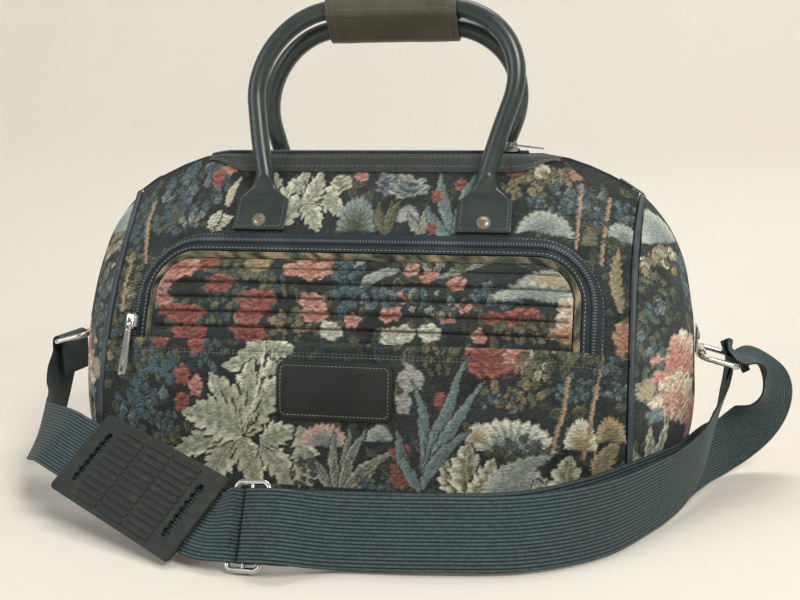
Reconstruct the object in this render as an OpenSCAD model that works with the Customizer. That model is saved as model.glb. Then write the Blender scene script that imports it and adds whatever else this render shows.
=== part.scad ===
// Tapestry carpet bag: a soft holdall with a zipped ridge, a zipped front pocket with
// stitched tucks, two rolled handles and a webbing shoulder strap.
// Millimetres, +Z up, the front faces -Y, the origin is the middle of the base.

/* [Body] */
// Width of the front and the back between the corner pipings
body_w = 430; // [390:2:470]
// Height of the ridge that the main zip closes
body_h = 276; // [262:1:292]
// Depth of the base from front to back
base_depth = 226; // [206:2:246]
// Depth of the ridge under the main zip
ridge_depth = 20; // [17:0.5:24]
// How far below the ridge the end seams meet
apex_drop = 33; // [24:1:44]
// Depth of an end panel at its top
apex_depth = 14; // [11:0.5:18]
// How far the padded ends stand out past the pipings
end_bulge = 54; // [40:1:62]
// How far the walls lean out above the base
belly_out = 11; // [4:1:16]
// Share of the height at which the walls start to lean in
belly_share = 0.4; // [0.35:0.01:0.45]
// Depth that the walls aim for under the shoulders
shoulder_depth = 160; // [150:1:170]
// Share of the height at which the shoulders lie
shoulder_share = 0.69; // [0.65:0.01:0.72]
// Radius of the soft edge round the base
base_edge_r = 14; // [11:0.5:18]
// Thickness of the lined tapestry
cloth_t = 2.4; // [1.8:0.1:3]
// Thickness of the stiff board inside the base
board_t = 3; // [2:0.5:4]
// Diameter of the corner piping
piping_d = 5.2; // [4:0.2:6]

/* [Front pocket] */
// Share of the height at which the lower front panel's hem lies
hem_share = 0.453; // [0.43:0.001:0.47]
// Share of the height that the pocket opening takes above the hem
pocket_share = 0.3115; // [0.29:0.0005:0.325]
// Cloth left between the pocket zip and the corner piping
pocket_margin = 20; // [16:1:26]
// Radius of the pocket's upper corners
pocket_r = 52; // [44:1:60]
// How far the pocket stands out of the front
pocket_depth = 10; // [7:0.5:12]
// Width of a zip's tape
zip_w = 19; // [17:0.5:21]
// Diameter of the cloth piping round the pocket panel
flap_piping_d = 6; // [5:0.2:7]
// Number of stitched tucks across the pocket panel
tucks = 4; // [2:1:4]
// Distance from one tuck to the next
tuck_pitch = 11; // [9:0.5:12]
// How far a tuck stands out
tuck_out = 3; // [2:0.2:4]
// Width of the plain patch
patch_w = 94; // [80:1:110]
// Height of the plain patch
patch_h = 43; // [36:1:48]
// Thickness of the patch
patch_t = 2.2; // [1.5:0.1:3]

/* [Zips] */
// Thickness of a zip's tape
tape_t = 1.2; // [0.9:0.1:1.5]
// Height of the closed coil above the tape
coil_h = 2.2; // [1.8:0.1:2.6]
// Width of the closed coil
coil_w = 5; // [4.4:0.2:5.6]
// Length of a zip slider
slider_len = 14; // [12:0.5:16]
// Length of the pocket zip's pull
pocket_pull_len = 44; // [38:1:48]
// Length of the main zip's pull
main_pull_len = 26; // [22:1:32]
// Height of the facing beside the main zip
facing_h = 15; // [12:0.5:17]
// Length of the facing beside the main zip
facing_len = 308; // [280:2:330]

/* [Handles] */
// Diameter of a rolled handle
roll_d = 15.5; // [13:0.5:18]
// Distance between the two tabs of a handle
handle_span = 190; // [170:2:210]
// Rise of the front handle's top above the ridge
front_handle_rise = 123; // [109:1:139]
// Rise of the back handle's top above the ridge
back_handle_rise = 108; // [102:1:116]
// Distance between the two handles inside the grip
grip_gap = 15; // [13:0.5:18]
// Half length of a handle's straight top
handle_top_half = 45; // [38:1:52]
// Radius of a handle's shoulders
handle_r = 66; // [60:1:70]
// Width of a handle's tab
tab_w = 45; // [40:1:50]
// Height of a handle's tab
tab_h = 30; // [27:1:32]
// Thickness of a handle's tab
tab_t = 3; // [2.4:0.2:4]
// Height over which the tab gathers into the roll
flare_h = 21; // [18:1:25]
// Diameter of a handle rivet
rivet_d = 11; // [9:0.5:13]
// Length of the grip round both handles
grip_len = 112; // [100:1:122]
// Wall of the grip
grip_t = 2.4; // [1.8:0.1:3]

/* [Shoulder strap] */
// Width of the webbing
strap_w = 50; // [46:1:52]
// Thickness of the webbing
strap_t = 1.9; // [1.5:0.1:2.2]
// Height of the rings on the ends
ring_h = 113; // [104:1:120]
// Diameter of the ring wire
ring_wire = 5; // [4:0.2:5.4]
// Depth of a ring from its bar to its bow
ring_depth = 29; // [26:1:32]
// Width inside a ring
ring_in_w = 54; // [53:0.5:58]
// Angle by which a ring droops at rest
ring_droop = 15; // [10:1:20]
// Length of the shoulder pad
pad_len = 144; // [130:2:150]
// Width of the shoulder pad
pad_w = 70; // [66:1:74]
// Thickness of the shoulder pad
pad_t = 3.4; // [2.8:0.2:4]
// Wire of the strap adjuster
adjuster_wire = 4; // [3:0.2:4.4]
// Distance between the adjuster's bars
adjuster_pitch = 12; // [11:0.5:14]

/* [Hidden] */
$fn = 48;

tapestry = [0.16, 0.2, 0.17];
vinyl = [0.12, 0.19, 0.18];
slate = [0.2, 0.23, 0.25];
metal = [0.78, 0.77, 0.74];
webbing = [0.08, 0.2, 0.19];

// Clearance between soft pieces that are sewn together
lay = 0.5;
// Clearance between pieces that move
play = 0.4;
// Share of the width over which the front and back stay straight
straight_share = 0.62;
// How far the end seams flare out at their tops
apex_flare = 7;
// Share of the end bulge that is tucked under at the base
base_tuck = 0.2;

// Plain sums
function mix(a, b, w) = a + (b - a) * w;
function unit(v) = v / norm(v);
function clip(u) = min(1, max(0, u));
function smooth(u) = let (c = clip(u)) c * c * (3 - 2 * c);
function flat(rows) = [for (row = rows) each row];
function bezier(p, t) = pow(1 - t, 3) * p[0] + 3 * pow(1 - t, 2) * t * p[1]
    + 3 * (1 - t) * t * t * p[2] + pow(t, 3) * p[3];

// Wall profiles as [half depth, height]: one at the middle, one along the end seams.
// From -1 to 0 a profile turns round the base edge, from 0 to 1 it climbs to the top.
base_half = base_depth / 2;
apex_h = body_h - apex_drop;
belly_h = belly_share * body_h;
shoulder_h = shoulder_share * body_h;
hem_h = hem_share * body_h;
pocket_h = pocket_share * body_h;
front_handle_h = body_h + front_handle_rise;
back_handle_h = body_h + back_handle_rise;
middle_curve = [
    [base_half, base_edge_r], [base_half + belly_out, belly_h],
    [shoulder_depth / 2, shoulder_h], [ridge_depth / 2, body_h]
];
seam_curve = [
    [base_half, base_edge_r], [base_half + belly_out, belly_h],
    [shoulder_depth / 2, shoulder_h], [apex_depth / 2, apex_h]
];
function profile(curve, t) = t >= 0
    ? bezier(curve, t)
    : let (turn = 90 * (1 + t))
        curve[0] + base_edge_r * [sin(turn) - 1, -cos(turn)];
function seam_x(t) = body_w / 2 + apex_flare * pow(max(t, 0), 6);
function side_fall(s) = pow(max(0, (abs(s) - straight_share) / (1 - straight_share)), 1.6);

// A point on the front wall, with s from -1 to 1 between the seams, and its outward direction
function wall_point(s, t) = let (
        m = profile(middle_curve, t), q = profile(seam_curve, t), w = side_fall(s))
    [s * seam_x(t), -mix(m.x, q.x, w), mix(m.y, q.y, w)];
step = 0.002;
function wall_out(s, t) = unit(cross(
    wall_point(s + step, t) - wall_point(s - step, t),
    wall_point(s, t + step) - wall_point(s, t - step)));
function wall(s, t, off) = wall_point(s, t) + off * wall_out(s, t);
function level(z, lo = 0, hi = 1, n = 20) = let (m = (lo + hi) / 2)
    n == 0 ? m : bezier(middle_curve, m).y < z ? level(z, m, hi, n - 1) : level(z, lo, m, n - 1);
// The same wall by width and height
function front(x, z, off) = let (t = level(z)) wall(x / seam_x(t), t, off);

// A point on the right end, with r from -1 at the front seam to 1 at the back seam
function bulge(t) = end_bulge * (1 - pow(max(t, 0), 4))
    * (1 - base_tuck * pow(1 - clip(t / 0.25), 2))
    - base_edge_r * (t < 0 ? 1 - sin(90 * (1 + t)) : 0);
function end_point(r, t) = let (q = profile(seam_curve, t))
    [seam_x(t) + bulge(t) * (1 - r * r), r * q.x, q.y];
function end_out(r, t) = unit(cross(
    end_point(r + step, t) - end_point(r - step, t),
    end_point(r, t + step) - end_point(r, t - step)));
function end_wall(r, t, off) = end_point(r, t) + off * end_out(r, t);
function seam_level(z, lo = 0, hi = 1, n = 20) = let (m = (lo + hi) / 2) n == 0 ? m
    : bezier(seam_curve, m).y < z ? seam_level(z, m, hi, n - 1) : seam_level(z, lo, m, n - 1);

// Pocket outline: how far a spot lies inside it, and how far the pocket stands out there
pocket_half = body_w / 2 - pocket_margin;
pocket_top = hem_h + pocket_h;
tuck_in = 8;
function inset(x, z) = let (
        dx = abs(x) - (pocket_half - pocket_r), dz = z - (pocket_top - pocket_r))
    pocket_r - norm([max(dx, 0), max(dz, 0)]) - min(max(dx, dz), 0);
function puff(x, z) = pocket_depth * smooth(inset(x, z) / zip_w);
// The outline's half width at a height, and its path from the left leg over to the right leg
function outline_half(z, d) = let (dz = max(0, z - (pocket_top - pocket_r)))
    pocket_half - pocket_r + sqrt(max(0, pow(pocket_r - d, 2) - dz * dz));
function right_outline(d) = concat(
    [for (k = [0, 0.42, 0.84]) [k * (pocket_half - pocket_r), pocket_top - d]],
    [for (a = [90:-15:0]) [pocket_half - pocket_r, pocket_top - pocket_r]
        + (pocket_r - d) * [cos(a), sin(a)]],
    [for (z = [hem_h + 16, hem_h - tuck_in]) [pocket_half - d, z]]);
function outline(d) = let (right = right_outline(d), last = len(right) - 1)
    concat([for (i = [last:-1:1]) [-right[i].x, right[i].y]], right);

// Solids from grids of points: a thin sheet between two grids, and a tube along rings
module sheet(outer, inner) {
    rows = len(outer);
    cols = len(outer[0]);
    under = rows * cols;
    function at(i, j) = i * cols + j;
    quads = concat(
        [for (i = [0:rows - 2], j = [0:cols - 2]) [at(i, j), at(i + 1, j), at(i + 1, j + 1), at(i, j + 1)]],
        [for (i = [0:rows - 2], j = [0:cols - 2])
            [under + at(i, j), under + at(i, j + 1), under + at(i + 1, j + 1), under + at(i + 1, j)]],
        [for (j = [0:cols - 2]) [at(0, j), at(0, j + 1), under + at(0, j + 1), under + at(0, j)]],
        [for (j = [0:cols - 2]) let (i = rows - 1)
            [at(i, j + 1), at(i, j), under + at(i, j), under + at(i, j + 1)]],
        [for (i = [0:rows - 2]) [at(i + 1, 0), at(i, 0), under + at(i, 0), under + at(i + 1, 0)]],
        [for (i = [0:rows - 2]) let (j = cols - 1)
            [at(i, j), at(i + 1, j), under + at(i + 1, j), under + at(i, j)]]);
    faces = flat([for (q = quads) [[q[0], q[1], q[2]], [q[0], q[2], q[3]]]]);
    polyhedron(concat(flat(outer), flat(inner)), faces);
}
module tube(rings) {
    count = len(rings);
    sides = len(rings[0]);
    function at(i, j) = i * sides + j % sides;
    walls = flat([for (i = [0:count - 2], j = [0:sides - 1]) [
        [at(i, j), at(i, j + 1), at(i + 1, j + 1)], [at(i, j), at(i + 1, j + 1), at(i + 1, j)]]]);
    polyhedron(flat(rings), concat(
        walls, [[for (j = [sides - 1:-1:0]) at(0, j)], [for (j = [0:sides - 1]) at(count - 1, j)]]));
}
// Sets children on a spot with a right, an up and an out direction
module set_on(spot, right, up, out) {
    multmatrix([
        [right.x, up.x, out.x, spot.x], [right.y, up.y, out.y, spot.y],
        [right.z, up.z, out.z, spot.z], [0, 0, 0, 1]]) children();
}
module both_sides() {
    children();
    mirror([1, 0, 0]) children();
}
module at_back() {
    mirror([0, 1, 0]) children();
}

// Cloth walls
wall_rows = [-1, -0.66, -0.33, 0, 0.16, 0.32, 0.46, 0.6, 0.7, 0.8, 0.9, 1];
wall_cols = [-1, -0.92, -0.84, -0.74, -0.62, 0, 0.62, 0.74, 0.84, 0.92, 1];
seam_gap = piping_d / 2 + lay;
function edge_share(t) = 1 - seam_gap / seam_x(t);
function wall_grid(off) = [for (t = wall_rows) [for (c = wall_cols) wall(c * edge_share(t), t, off)]];
module wall_panel() {
    sheet(wall_grid(0), wall_grid(-cloth_t));
}
module front_panel() {
    color(tapestry) wall_panel();
}
module back_panel() {
    color(tapestry) at_back() wall_panel();
}

end_cols = [-1, -0.75, -0.5, -0.25, 0, 0.25, 0.5, 0.75, 1];
end_seam_gap = seam_gap * 0.95;
function end_share(t) = 1 - end_seam_gap / profile(seam_curve, t).x;
end_rows = [for (t = wall_rows) min(t, 0.955)];
function end_grid(off) = [for (t = end_rows) [for (c = end_cols) end_wall(c * end_share(t), t, off)]];
module end_panel() {
    sheet(end_grid(0), end_grid(-cloth_t));
}
module right_end_panel() {
    color(tapestry) end_panel();
}
module left_end_panel() {
    color(tapestry) mirror([1, 0, 0]) end_panel();
}

// The base follows the lower edges of the four walls
foot_half = base_half - base_edge_r;
module base_outline(gap) {
    bow = bulge(-1) - gap;
    turns = [for (k = [-8:8]) k / 8];
    side = [for (k = turns) [body_w / 2 - gap + bow * (1 - k * k), k * (foot_half - gap)]];
    polygon(concat(side, [for (i = [len(side) - 1:-1:0]) [-side[i].x, side[i].y]]));
}
module base_panel() {
    color(tapestry) linear_extrude(cloth_t) base_outline(lay);
}
module base_board() {
    color("dimgray") translate([0, 0, cloth_t + 0.3]) linear_extrude(board_t) base_outline(8);
}

// Corner piping
seam_rows = [-0.5, -0.25, 0, 0.12, 0.24, 0.36, 0.48, 0.6, 0.7, 0.78, 0.86, 0.93, 1];
piping_sides = 8;
function seam_spot(t) = let (q = profile(seam_curve, t)) [seam_x(t), -q.x, q.y];
function seam_ring(t) = let (
        along = unit(seam_spot(t + step) - seam_spot(t - step)),
        side = unit([1, 0, 0] - along.x * along),
        out = cross(side, along))
    [for (k = [0:piping_sides - 1]) let (a = 360 * k / piping_sides)
        seam_spot(t) + piping_d / 2 * (cos(a) * side + sin(a) * out)];
module corner_piping() {
    tube([for (t = seam_rows) seam_ring(t)]);
}
module front_right_piping() {
    color(slate) corner_piping();
}
module front_left_piping() {
    color(slate) mirror([1, 0, 0]) corner_piping();
}
module back_right_piping() {
    color(slate) at_back() corner_piping();
}
module back_left_piping() {
    color(slate) at_back() mirror([1, 0, 0]) corner_piping();
}

// Front pocket. The lower panel covers the ends of the zip and of the tucked panel.
stack = tape_t + coil_h + lay;
function lower_lift(x, z) = lay + smooth(z / hem_h)
    * (puff(x, min(z, hem_h)) + stack * smooth((body_w / 2 - 4 - abs(x)) / 14));
lower_rows = [-0.5, -0.25, 0, 0.12, 0.24, 0.36, 1];
lower_cols = [-1, -0.955, -0.91, -0.87, -0.82, -0.62, 0, 0.62, 0.82, 0.87, 0.91, 0.955, 1];
hem_level = level(hem_h);
function lower_level(t) = t == 1 ? hem_level : min(t, hem_level * 0.9);
function lower_grid(extra) = [for (row = lower_rows) let (t = lower_level(row))
    [for (c = lower_cols) let (s = c * edge_share(t), z = max(0, profile(middle_curve, t).y))
        wall(s, t, lower_lift(s * seam_x(t), z) + extra)]];
module lower_front_panel() {
    color(tapestry) sheet(lower_grid(cloth_t), lower_grid(0));
}

flap_inset = zip_w + flap_piping_d + lay;
first_tuck = hem_h + 10;
tuck_steps = [0, 0.12, 0.3, 0.6, 0.85];
function tuck(z) = let (u = (z - first_tuck) / tuck_pitch, f = u - floor(u))
    u < 0 || u >= tucks ? 0 : tuck_out * sin(180 * pow(f, 0.6));
tuck_end = first_tuck + tucks * tuck_pitch;
flap_top = pocket_top - flap_inset;
flap_rows = concat(
    [hem_h - tuck_in, first_tuck - 1],
    [for (k = [0:tucks - 1], f = tuck_steps) first_tuck + (k + f) * tuck_pitch],
    [for (k = [0, 0.35, 0.7, 0.9, 1]) mix(tuck_end, flap_top, k)]);
flap_cols = [-1, -0.86, -0.72, -0.5, 0, 0.5, 0.72, 0.86, 1];
function flap_grid(extra) = [for (z = flap_rows) let (half = outline_half(z, flap_inset))
    [for (c = flap_cols) front(c * half, z, puff(c * half, z) + extra + (extra > 0 ? tuck(z) : 0))]];
module pocket_panel() {
    color(tapestry) sheet(flap_grid(cloth_t), flap_grid(0));
}

// Spots along the pocket outline, sunk in from it by d and raised by h
function outline_row(d, h) = [for (p = outline(d)) front(p.x, p.y, puff(p.x, p.y) + h)];
flap_piping_in = zip_w + flap_piping_d / 2;
module pocket_piping() {
    paths = [for (k = [0:piping_sides - 1]) let (a = 360 * k / piping_sides)
        outline_row(flap_piping_in + flap_piping_d / 2 * cos(a), flap_piping_d / 2 * sin(a))];
    color(tapestry) tube([for (i = [0:len(paths[0]) - 1]) [for (path = paths) path[i]]]);
}
coil_in = zip_w / 2;
zip_section = [
    [zip_w - 0.7, tape_t], [coil_in + coil_w / 2, tape_t], [coil_in + coil_w * 0.3, tape_t + coil_h],
    [coil_in - coil_w * 0.3, tape_t + coil_h], [coil_in - coil_w / 2, tape_t], [0.7, tape_t]
];
module pocket_zip() {
    color(slate) sheet(
        [for (p = zip_section) outline_row(p.x, p.y + 0.3)],
        [for (p = zip_section) outline_row(p.x, 0.3)]);
}

// Zip slider and pull, lying along Y with the coil under them, and the eye of the pull at eye_spot
slider_w = coil_w + 5;
slider_plate = 1.6;
slider_low = 1.2;
slider_top = coil_h + play + slider_plate;
eye_d = 2.8;
bridge_h = eye_d + 2.4;
eye_spot = [0, -1.5, slider_top + bridge_h / 2];
pull_t = 1.8;
pull_w = 12;
module slider_shape() {
    difference() {
        translate([-slider_w / 2, -slider_len / 2, slider_low])
            cube([slider_w, slider_len, slider_top - slider_low]);
        translate([-coil_w / 2 - play, -slider_len, -1])
            cube([coil_w + 2 * play, 2 * slider_len, coil_h + play + 1]);
        for (side = [-1, 1], end = [-1, 1]) translate([side * slider_w / 2, end * slider_len / 2, -1])
            rotate(45) cube([3, 3, 20], center = true);
    }
    difference() {
        translate([-1.4, -5, slider_top - 0.2]) cube([2.8, 10, bridge_h + 0.2]);
        translate(eye_spot) rotate([0, 90, 0]) cylinder(d = eye_d, h = 10, center = true);
    }
}
module pull_shape(length, droop = 0) {
    eye = 8;
    head = slider_w * 0.85;
    translate(eye_spot) rotate([droop, 0, 0]) {
        rotate([0, 90, 0]) cylinder(d = pull_t, h = head, center = true);
        translate([0, 0, -pull_t / 2]) linear_extrude(pull_t) difference() {
            polygon([
                [-head / 2, 0], [-head / 2, -eye], [-pull_w / 2, -length + 5], [-pull_w / 2 + 2, -length],
                [pull_w / 2 - 2, -length], [pull_w / 2, -length + 5], [head / 2, -eye], [head / 2, 0]
            ]);
            translate([-1.9, -eye + 0.6]) square([3.8, eye]);
            translate([0, -length + 5]) circle(d = 5);
        }
    }
}

// Pocket slider at the closed end, low on the left leg
pocket_slider_h = hem_h + 13;
leg_x = -(pocket_half - coil_in);
leg_puff = puff(leg_x, hem_h);
leg_low = front(leg_x, pocket_slider_h, leg_puff + tape_t + 0.3);
leg_high = front(leg_x, pocket_top - pocket_r, leg_puff + tape_t + 0.3);
leg_up = unit(leg_high - leg_low);
leg_side = let (
        a = front(leg_x - 1, pocket_slider_h, puff(leg_x - 1, pocket_slider_h)),
        b = front(leg_x + 1, pocket_slider_h, puff(leg_x + 1, pocket_slider_h)),
        across = b - a)
    unit(across - (across * leg_up) * leg_up);
leg_out = cross(leg_side, leg_up);
slider_lift = 0.8;
module on_leg() {
    set_on(leg_low + slider_lift * leg_out, leg_side, leg_up, leg_out) children();
}
module pocket_zip_slider() {
    color(metal) on_leg() slider_shape();
}
module pocket_zip_pull() {
    color(metal) on_leg() pull_shape(pocket_pull_len);
}

// Main zip along the ridge
coil_from = -150;
main_slider_x = 112;
main_pull_droop = 7;
coil_to = main_slider_x + slider_len / 2 + 3;
ridge_cols = [
    -0.96, -0.88, -0.8, -0.72, coil_from / (body_w / 2) - 0.004, coil_from / (body_w / 2), -0.62, 0,
    coil_to / (body_w / 2), coil_to / (body_w / 2) + 0.004, 0.62, 0.72, 0.8, 0.88, 0.96
];
function ridge_spot(s, across, h) = let (p = wall_point(s, 1))
    [p.x, -across * (p.y + 0.2), p.z + 0.3 + h];
function coil_on(s) = s * body_w / 2 < coil_from - 0.1 || s * body_w / 2 > coil_to + 0.1 ? 0 : coil_h;
coil_share = coil_w / ridge_depth;
ridge_section = [-1, -coil_share, -0.6 * coil_share, 0.6 * coil_share, coil_share, 1];
function ridge_row(v, top) = [for (s = ridge_cols)
    ridge_spot(s, v, top ? tape_t + (abs(v) < 0.7 * coil_share ? coil_on(s) : 0) : 0)];
module main_zip() {
    color(slate) sheet(
        [for (v = ridge_section) ridge_row(v, true)],
        [for (v = ridge_section) ridge_row(v, false)]);
}
module on_ridge() {
    translate([main_slider_x, 0, body_h + 0.3 + tape_t]) rotate(90) children();
}
module main_zip_slider() {
    color(metal) on_ridge() slider_shape();
}
module main_zip_pull() {
    color(metal) on_ridge() pull_shape(main_pull_len, main_pull_droop);
}

facing_cols = [-1, -0.94, -0.85, -0.7, 0, 0.7, 0.85, 0.94, 1];
facing_t = 1.4;
function facing_low(c) = body_h - facing_h * mix(0.25, 1, smooth((1 - abs(c)) / 0.25));
function facing_grid(extra) = [for (k = [0, 0.5, 1]) [for (c = facing_cols)
    front(c * facing_len / 2, mix(facing_low(c), body_h, k), lay + extra)]];
module zip_facing() {
    sheet(facing_grid(facing_t), facing_grid(0));
}
module front_zip_facing() {
    color(vinyl) zip_facing();
}
module back_zip_facing() {
    color(vinyl) at_back() zip_facing();
}

// Handles. A tab lies on the wall just above the pocket, gathers into the roll and arches over.
tab_slope = 0.84;
tab_h_mid = pocket_top + 1.5 + tab_slope * tab_h / 2;
tab_spot = front(handle_span / 2, tab_h_mid, lay);
tab_up = unit(front(handle_span / 2, tab_h_mid + 5, lay) - front(handle_span / 2, tab_h_mid - 5, lay));
tab_right = [1, 0, 0];
tab_out = cross(tab_right, tab_up);
roll_spot = tab_spot + (tab_h / 2 + flare_h) * tab_up + (roll_d / 2 + 1) * tab_out;
module on_tab() {
    both_sides() set_on(tab_spot, tab_right, tab_up, tab_out) children();
}
// Stations along the right half of a handle, each [spot, side, out, half width, half thickness,
// squareness]. They run up the tab, gather into the roll, climb the leg and turn over to the top.
roll_r = roll_d / 2;
tab_edge = 8;
tab_core = tab_spot + tab_t / 2 * tab_out;
function tab_stations() = [for (k = [-0.5, 0, 0.5])
    [tab_core + k * tab_h * tab_up, tab_right, tab_out, tab_w / 2, tab_t / 2, tab_edge]];
function flare_stations() = let (from = tab_core + tab_h / 2 * tab_up)
    [for (k = [0.25, 0.5, 0.75]) let (w = smooth(k), gather = pow(k, 0.6))
        [mix(from, roll_spot, k) + (w - k) * roll_r / 2 * tab_out, tab_right, tab_out,
            mix(tab_w / 2, roll_r, gather), mix(tab_t / 2, roll_r, w), mix(tab_edge, 2, gather)]];
function arch_stations(top_h) = let (
        top_y = -grip_gap / 2,
        rise = norm([top_y - roll_spot.y, top_h - roll_spot.z]),
        lean = atan2(top_y - roll_spot.y, top_h - roll_spot.z),
        up = [0, sin(lean), cos(lean)],
        out = [0, -cos(lean), sin(lean)],
        bend = [handle_top_half, rise - handle_r],
        foot = [handle_span / 2, 0],
        reach = norm(bend - foot),
        leg = sqrt(reach * reach - handle_r * handle_r),
        turn = atan2(bend.y - foot.y, bend.x - foot.x) - asin(handle_r / reach) - 90,
        from = [0, roll_spot.y, roll_spot.z])
    concat(
        [for (k = [0, 0.5]) let (p = foot + k * leg * [-sin(turn), cos(turn)])
            [from + [p.x, 0, 0] + p.y * up, [cos(turn), 0, 0] + sin(turn) * up, out, roll_r, roll_r, 2]],
        [for (k = [0:6]) let (a = mix(turn, 90, k / 6), p = bend + handle_r * [cos(a), sin(a)])
            [from + [p.x, 0, 0] + p.y * up, [cos(a), 0, 0] + sin(a) * up, out, roll_r, roll_r, 2]]);
handle_sides = 16;
function round_off(v, n) = sign(v) * pow(abs(v), 2 / n);
function station_ring(st) = [for (k = [0:handle_sides - 1]) let (a = 360 * (k + 0.5) / handle_sides)
    st[0] + st[3] * round_off(cos(a), st[5]) * st[1] + st[4] * round_off(sin(a), st[5]) * st[2]];
function flip_x(v) = [-v.x, v.y, v.z];
module handle(top_h) {
    right = concat(tab_stations(), flare_stations(), arch_stations(top_h));
    left = [for (i = [len(right) - 1:-1:0]) let (st = right[i])
        [flip_x(st[0]), flip_x(st[1]), st[2], st[3], st[4], st[5]]];
    tube([for (st = concat(right, left)) station_ring(st)]);
}
module front_handle() {
    color(vinyl) handle(front_handle_h);
}
module back_handle() {
    color(vinyl) at_back() handle(back_handle_h);
}
module rivet_pair() {
    on_tab() translate([0, -tab_h / 2 + 9, tab_t]) {
        cylinder(d = rivet_d, h = 0.8);
        translate([0, 0, 0.8]) cylinder(d1 = rivet_d, d2 = rivet_d - 2, h = 0.7);
    }
}
module front_handle_rivets() {
    color(metal) rivet_pair();
}
module back_handle_rivets() {
    color(metal) at_back() rivet_pair();
}
grip_clear = 2.2;
module grip_section(r) {
    hull() {
        translate([-grip_gap / 2, front_handle_h]) circle(r = r, $fn = 32);
        translate([grip_gap / 2, back_handle_h]) circle(r = r, $fn = 32);
    }
}
module handle_grip() {
    color(vinyl) rotate([90, 0, 90]) linear_extrude(grip_len, center = true) difference() {
        grip_section(roll_d / 2 + grip_clear + grip_t);
        grip_section(roll_d / 2 + grip_clear);
    }
}

// Plain leather patch on the lower front panel
patch_x = -13;
patch_z = 0.72 * hem_h;
function patch_grid(extra) = [for (v = [-0.5, -0.17, 0.17, 0.5]) let (z = patch_z + v * patch_h)
    [for (u = [-0.5, 0, 0.5]) let (x = patch_x + u * patch_w)
        front(x, z, lower_lift(x, z) + cloth_t + 0.3 + extra)]];
module plain_patch() {
    color([0.07, 0.09, 0.08]) sheet(patch_grid(patch_t), patch_grid(0));
}

// Rings on the ends, each held by a folded metal bracket
bracket_t = 1.4;
bracket_w = 24;
bracket_h = 22;
stud_d = 8;
sleeve_r = ring_wire / 2 + 0.3 + bracket_t;
tip_x = end_point(0, seam_level(ring_h)).x;
bar_x = tip_x + 0.4 + sleeve_r;
ring_half = (ring_in_w + ring_wire) / 2;
ring_corner = 6;
bow_spot = [bar_x + ring_depth * cos(ring_droop), 0, ring_h - ring_depth * sin(ring_droop)];
// A closed wire loop from x = 0 to depth, with rounded corners
module wire_loop(depth, half, wire, corner) {
    arm = depth - 2 * corner;
    bar = 2 * (half - corner);
    for (x = [0, depth]) translate([x, 0, 0]) rotate([90, 0, 0])
        cylinder(d = wire, h = bar, center = true);
    for (side = [-1, 1]) translate([corner, side * half, 0]) rotate([0, 90, 0])
        cylinder(d = wire, h = arm);
    for (turn = [0, 90, 180, 270]) let (far = turn == 0 || turn == 270, high = turn < 180)
        translate([far ? depth - corner : corner, (high ? 1 : -1) * bar / 2, 0])
            rotate(turn) rotate_extrude(angle = 90) translate([corner, 0]) circle(d = wire);
}
module ring() {
    translate([bar_x, 0, ring_h]) rotate([0, ring_droop, 0])
        wire_loop(ring_depth, ring_half, ring_wire, ring_corner);
}
module ring_bracket() {
    difference() {
        union() {
            translate([bar_x, 0, ring_h]) rotate([90, 0, 0])
                cylinder(r = sleeve_r, h = bracket_w, center = true);
            translate([tip_x + 0.4, -bracket_w / 2, ring_h]) cube([bracket_t, bracket_w, bracket_h]);
        }
        translate([bar_x, 0, ring_h]) rotate([90, 0, 0])
            cylinder(d = ring_wire + 0.6, h = 2 * bracket_w, center = true);
    }
}
module bracket_rivet() {
    translate([tip_x + 0.4 + bracket_t, 0, ring_h + bracket_h * 0.6]) rotate([0, 90, 0])
        cylinder(d1 = stud_d, d2 = stud_d * 0.6, h = 2.4);
}
module right_ring() {
    color(metal) ring();
}
module left_ring() {
    color(metal) mirror([1, 0, 0]) ring();
}
module right_ring_bracket() {
    color(metal) ring_bracket();
}
module left_ring_bracket() {
    color(metal) mirror([1, 0, 0]) ring_bracket();
}
module right_bracket_rivet() {
    color(metal) bracket_rivet();
}
module left_bracket_rivet() {
    color(metal) mirror([1, 0, 0]) bracket_rivet();
}

// Shoulder strap. Each row of its route is [spot, direction across the webbing].
// Spots on the front run are measured from the bag's front, those by a ring from its bow.
// The front run was laid out for a body of width lie_w and spreads with the body.
front_y = -base_half;
right_bow = bow_spot;
left_bow = [-bow_spot.x, 0, bow_spot.z];
strap_clear = 0.8;
loop_r = ring_wire / 2 + strap_clear + strap_t / 2;
function bow_turn(bow, angles, across) = [for (a = angles) [bow + loop_r * [cos(a), 0, sin(a)], across]];
function from_bow(bow, rows) = [for (row = rows) [bow + row[0], row[1]]];
lie_w = 430;
spread = body_w / lie_w;
function from_front(rows) = [for (row = rows)
    [[row[0].x * spread, front_y + row[0].y, row[0].z], row[1]]];

// The straight stretch that carries the pad
pad_mid = [-137 * spread, front_y - 104, 39];
pad_across = unit([0.46, 0.57, 0.69]);
pad_along = let (a = [0.857, -0.49, -0.16]) unit(a - (a * pad_across) * pad_across);
pad_out = cross(pad_along, pad_across);
pad_slot_x = pad_len / 2 - 17;
pad_travel = 18;
pad_run = pad_len / 2 + pad_travel + 2;
strap_under_pad = strap_t / 2 + 0.6;
function on_pad_line(rows) = [for (u = rows)
    [pad_mid + u * pad_along - strap_under_pad * pad_out, pad_across]];

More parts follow.
